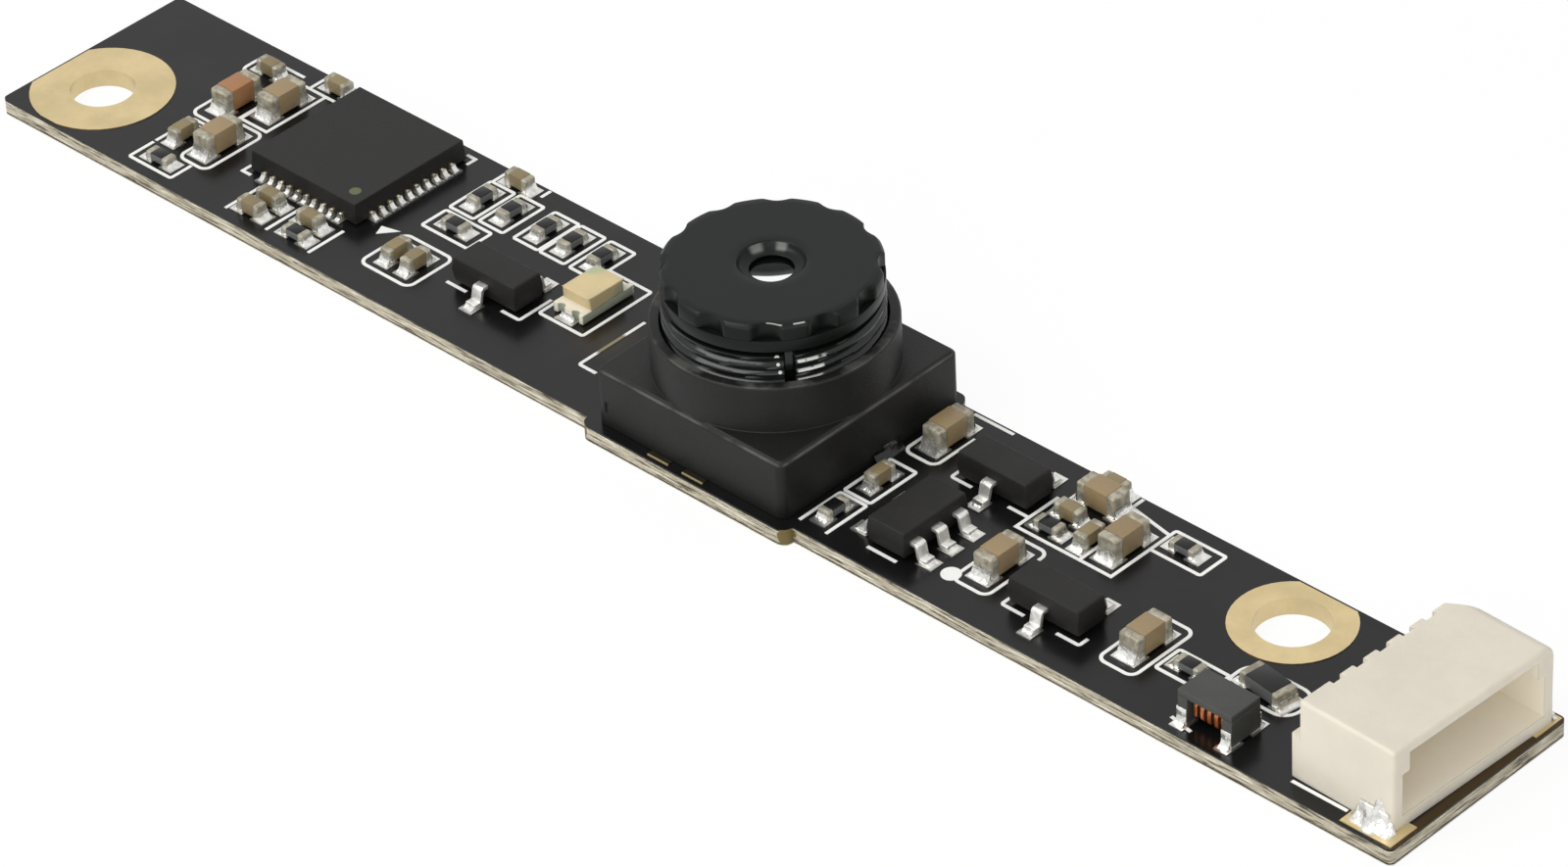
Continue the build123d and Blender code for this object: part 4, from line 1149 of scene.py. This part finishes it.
CHIP_KINDS = {
    "large_capacitor": ((1.6, 0.8, 0.8), 0.36, "brown_ceramic", "brown_ceramic", 11),
    "small_capacitor": ((1.0, 0.5, 0.5), 0.24, "tan_ceramic", "tan_ceramic", 12),
    "resistor": ((1.0, 0.5, 0.32), 0.24, "grey_ceramic", "white_ceramic", 13),
    "marked_chip": ((1.75, 0.85, 0.5), 0.3, "grey_ceramic", "white_ceramic", 14),
}
WARM_REACH = 1.2  # how far from the reddest capacitor its colour still tells
END_SAG = 0.021  # how much a metal end falls away to its sides


def chip_block(length, width, low, high, edge):
    shape = bmesh.new()
    height = high - low
    rounded_block(shape, (0, 0, height / 2), (length, width, height), edge)
    return mesh_from(shape)


def chip_ends(length, width, height, cap):
    """Both metal ends of a chip, a little higher in their middle."""
    shape = bmesh.new()
    for side in (-1, 1):
        middle = (side * (length - cap) / 2, 0, height / 2)
        rounded_block(shape, middle, (cap, width, height), min(0.3 * cap, 0.09), 3)
    for corner in shape.verts:
        if abs(corner.co.x) >= length / 2 - cap + 0.03:
            corner.co.z -= END_SAG * (1 - cos(pi * corner.co.y / width * 0.8))
    return mesh_from(shape)


class CAMERA_OT_chips(Operator):
    """Repeat the ceramic chips: bodies, coats and soldered ends"""

    bl_idname = "camera_module.chips"
    bl_label = "Ceramic chips"

    def execute(self, context):
        for kind, (size, cap, finish, slot, seed) in CHIP_KINDS.items():
            length, width, height = size
            single = kind == "marked_chip"
            body_node = f"{kind}_body" if single else f"{kind}_bodies"
            coat_node = f"{kind}_coat" if single else f"{kind}_coats"
            low, high = node_box(body_node)
            places = block_places(body_node)
            warmth = ()
            if kind == "large_capacitor":
                reddest = min(place[0] for place in places)
                warmth = [max(0.0, 1 - (place[0] - reddest) / WARM_REACH) for place in places]
            body = chip_block(length - 2 * cap + 0.04, width - 0.04, low.z, high.z, 0.02)
            repeated(
                f"{kind}_bodies_piece", body, places, finish, body_node, seed,
                warmth=warmth,
            )
            if coat_node in NODES:
                low, high = node_box(coat_node)
                repeated(
                    f"{kind}_coats_piece",
                    chip_block(length - 2 * cap, width - 0.06, low.z, high.z, 0.012),
                    [(x, y, low.z, turn) for x, y, z, turn in places],
                    "dark_coat" if single else "black_glaze", coat_node, seed,
                )
            seats = [(x, y, z - 0.02, turn) for x, y, z, turn in places]
            repeated(
                f"{kind}_caps_piece", chip_ends(length, width, height, cap), seats,
                "chip_ends", f"{kind}_caps", seed, uneven=0.03,
            )
        return {"FINISHED"}


# Solder


class CAMERA_OT_solder(Operator):
    """Finish the solder at the chips"""

    bl_idname = "camera_module.solder"
    bl_label = "Solder"

    def execute(self, context):
        dress("solder", "chip_solder")
        return {"FINISHED"}


# Moulded parts and the controller


class CAMERA_OT_moulded(Operator):
    """Finish the controller, the transistors and the regulator"""

    bl_idname = "camera_module.moulded"
    bl_label = "Moulded parts"

    def execute(self, context):
        for node in ("transistor_1", "transistor_2", "transistor_3", "regulator"):
            softened(f"{node}_body", "moulding", 0.09)
            softened(f"{node}_leads", "lead_tin", 0.03, 2)
        softened("controller_body", "controller_moulding", 0.05)
        softened("controller_leads", "gilt_tin", 0.04, 2, slimmer=0.66)
        dress("solder", "controller_heat_pad")
        return {"FINISHED"}


# Indicator light


class CAMERA_OT_light(Operator):
    """Finish the indicator light, and let its cast top lean out and sag"""

    bl_idname = "camera_module.light"
    bl_label = "Indicator light"

    def execute(self, context):
        softened("light_base", "light_base", 0.02, 2)
        top = softened("light_top", "light_resin", 0.05)
        low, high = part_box("light_top")
        edge_low, edge_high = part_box("light_base")
        middle = (low + high) / 2
        wider, sag = (0.24, 0.38), 0.03
        for corner in top.data.vertices:
            rise = (corner.co.z - low.z) / (high.z - low.z)
            for axis, lean in enumerate(wider):
                spread = (corner.co[axis] - middle[axis]) * (1 + lean * rise)
                corner.co[axis] = middle[axis] + spread
                corner.co[axis] = min(max(corner.co[axis], edge_low[axis]), edge_high[axis])
            lump = sin(corner.co.y / MM * 2.1) * sin(corner.co.x / MM * 1.7)
            corner.co.z -= rise * (sag + sag * lump) * MM
        softened("light_terminals", "cream_terminal", 0.012, 2)
        return {"FINISHED"}


# Choke


class CAMERA_OT_choke(Operator):
    """Finish the wound choke"""

    bl_idname = "camera_module.choke"
    bl_label = "Choke"

    def execute(self, context):
        softened("choke_drum", "ferrite", 0.03)
        softened("choke_plate", "ferrite", 0.05)
        softened("choke_winding", "copper_wire", 0.05)
        softened("choke_terminals", "solder", 0.012, 2)
        return {"FINISHED"}


# Cable socket. The solder at its tabs: reach over the land, climb up the wall, and half length

NEAR_SOLDER = (0.5, 0.78, 0.8)
FAR_SOLDER = (0.26, 0.5, 0.7)


class CAMERA_OT_socket(Operator):
    """Finish the cable socket, its contacts, its fixing tabs and their solder"""

    bl_idname = "camera_module.socket"
    bl_label = "Cable socket"

    def execute(self, context):
        softened("socket_housing", "socket_plastic", 0.07)
        softened("socket_contacts", "gold", 0.04)
        softened("socket_tabs", "lead_tin", 0.03, 2)
        self.flow_solder()
        return {"FINISHED"}

    def flow_solder(self):
        """Solder at the fixing tabs: it climbs the wall and thins out over the land."""
        land = node_box("solder_lands")[1].z
        shape = bmesh.new()
        for corners in node_islands("socket_tabs"):
            along = [corner.x for corner in corners]
            across = [corner.y for corner in corners]
            middle_x = (min(along) + max(along)) / 2
            near = max(across) < 0
            wall = max(across) - 0.02 if near else min(across) + 0.02
            reach, climb, half = NEAR_SOLDER if near else FAR_SOLDER
            outward = -1 if near else 1
            bead(shape, (middle_x, wall, land), outward, half, reach, climb, SOCKET_TURN)
        mesh = creased(mesh_from(shape), 60.0)
        placed("socket_solder_piece", mesh, "solder", "root", "socket_solder")


# Stage

TARGET = (2.88, -0.71, 0.6)  # what the camera looks at, in millimetres
FLOOR_GLOW = 0.92  # how much of the floor's look is plain white, and how much takes shadow
LAMPS = (  # name, azimuth and elevation in degrees, distance, size, power
    ("key", -30.0, 58.0, 0.32, 0.2, 0.56),
    ("fill", 28.0, 26.0, 0.35, 0.26, 0.34),
    ("strip", 78.0, 40.0, 0.35, 0.08, 0.1),
)


def towards(azimuth, elevation):
    """The direction at an angle round the object and above the floor, from the front."""
    return Vector((
        sin(azimuth) * cos(elevation), -cos(azimuth) * cos(elevation), sin(elevation)
    ))


def hidden_bright(tree, surface, plain, bright):
    """The plain shader for light, and the bright one for what is seen or mirrored."""
    rays = add_node(tree, "ShaderNodeLightPath").outputs
    most = {"operation": "MAXIMUM"}
    seen = add_node(tree, "ShaderNodeMath", most, (rays["Is Camera Ray"], rays["Is Glossy Ray"]))
    through = add_node(
        tree, "ShaderNodeMath", most, (seen.outputs[0], rays["Is Transmission Ray"])
    )
    choice = add_node(
        tree, "ShaderNodeMixShader", {},
        (through.outputs[0], plain.outputs[0], bright.outputs[0]),
    )
    tree.links.new(choice.outputs[0], surface)


class CAMERA_OT_stage(Operator):
    """Lay the floor, hang the lights and set up the camera"""

    bl_idname = "camera_module.stage"
    bl_label = "Stage"

    def execute(self, context):
        stage = context.scene.camera_stage
        self.lay_floor(stage)
        self.hang_lights(stage)
        self.aim_camera(stage)
        context.scene.view_settings.view_transform = "Standard"
        return {"FINISHED"}

    def lay_floor(self, stage):
        half = stage.floor_size / 2
        low = -0.02 * MM
        mesh = bpy.data.meshes.new("floor")
        corners = [(-half, -half, low), (half, -half, low), (half, half, low), (-half, half, low)]
        mesh.from_pydata(corners, [], [(0, 1, 2, 3)])
        floor = shown("floor", mesh)
        f = Finish(
            "floor", Base_Color=stage.floor_colour, Roughness=0.6, Specular_IOR_Level=0.1
        )
        mesh.materials.append(f.material)
        glow = add_node(f.tree, "ShaderNodeEmission", {}, {"Strength": 1.0})
        both = add_node(
            f.tree, "ShaderNodeMixShader", {},
            (FLOOR_GLOW, f.shader.outputs[0], glow.outputs[0]),
        )
        surface = f.tree.nodes["Material Output"].inputs["Surface"]
        hidden_bright(f.tree, surface, f.shader, both)

    def hang_lights(self, stage):
        world = bpy.data.worlds.new("studio")
        bpy.context.scene.world = world
        world.use_nodes = True
        tree = world.node_tree
        white = (1, 1, 1, 1)
        plain = tree.nodes["Background"]
        plain.inputs["Color"].default_value = white
        plain.inputs["Strength"].default_value = stage.daylight
        bright = add_node(tree, "ShaderNodeBackground", {}, {"Color": white, "Strength": 1.0})
        hidden_bright(tree, tree.nodes["World Output"].inputs["Surface"], plain, bright)
        middle = Vector((LENS_X, 0.0, DECK)) * MM
        for name, azimuth, elevation, distance, size, power in LAMPS:
            lamp = bpy.data.lights.new(name, "AREA")
            lamp.shape = "SQUARE"
            lamp.size = size
            lamp.energy = power
            light = shown(name, lamp)
            away = towards(radians(azimuth), radians(elevation))
            light.location = middle + away * distance
            light.rotation_mode = "QUATERNION"
            light.rotation_quaternion = away.to_track_quat("Z", "Y")

    def aim_camera(self, stage):
        back = towards(stage.azimuth, stage.elevation)
        right = Vector((cos(stage.azimuth), sin(stage.azimuth), 0.0))
        up = back.cross(right)
        across = right * cos(stage.roll) + up * sin(stage.roll)
        above = up * cos(stage.roll) - right * sin(stage.roll)
        data = bpy.data.cameras.new("camera")
        data.lens = stage.focal_length
        data.sensor_width = 36.0
        data.clip_start = 0.01
        data.clip_end = 10.0
        camera = shown("camera", data)
        camera.matrix_world = Matrix((across, above, back)).transposed().to_4x4()
        camera.location = Vector(TARGET) * MM + back * stage.distance
        bpy.context.scene.camera = camera


# Sidebar


PIECES = (
    CAMERA_OT_board, CAMERA_OT_holder, CAMERA_OT_lens, CAMERA_OT_sensor, CAMERA_OT_chips,
    CAMERA_OT_solder, CAMERA_OT_moulded, CAMERA_OT_light, CAMERA_OT_choke, CAMERA_OT_socket,
    CAMERA_OT_stage,
)


class CAMERA_PT_module(Panel):
    bl_label = "Camera module"
    bl_space_type = "VIEW_3D"
    bl_region_type = "UI"
    bl_category = "Camera module"

    def draw(self, context):
        for operator in PIECES:
            self.layout.operator(operator.bl_idname)
        for settings in ("camera_colours", "camera_lens", "camera_stage"):
            group = getattr(context.scene, settings)
            box = self.layout.box()
            for name in group.__annotations__:
                box.prop(group, name)


CLASSES = (ModuleColours, LensSizes, StageSettings, *PIECES, CAMERA_PT_module)


def register():
    for cls in CLASSES:
        bpy.utils.register_class(cls)
    bpy.types.Scene.camera_colours = PointerProperty(type=ModuleColours)
    bpy.types.Scene.camera_lens = PointerProperty(type=LensSizes)
    bpy.types.Scene.camera_stage = PointerProperty(type=StageSettings)


def unregister():
    del bpy.types.Scene.camera_stage
    del bpy.types.Scene.camera_lens
    del bpy.types.Scene.camera_colours
    for cls in reversed(CLASSES):
        bpy.utils.unregister_class(cls)


def main():
    register()
    make_finishes(bpy.context.scene.camera_colours, bpy.context.scene.camera_lens)
    for operator in PIECES:
        group, name = operator.bl_idname.split(".")
        getattr(getattr(bpy.ops, group), name)()


if __name__ == "__main__":
    main()
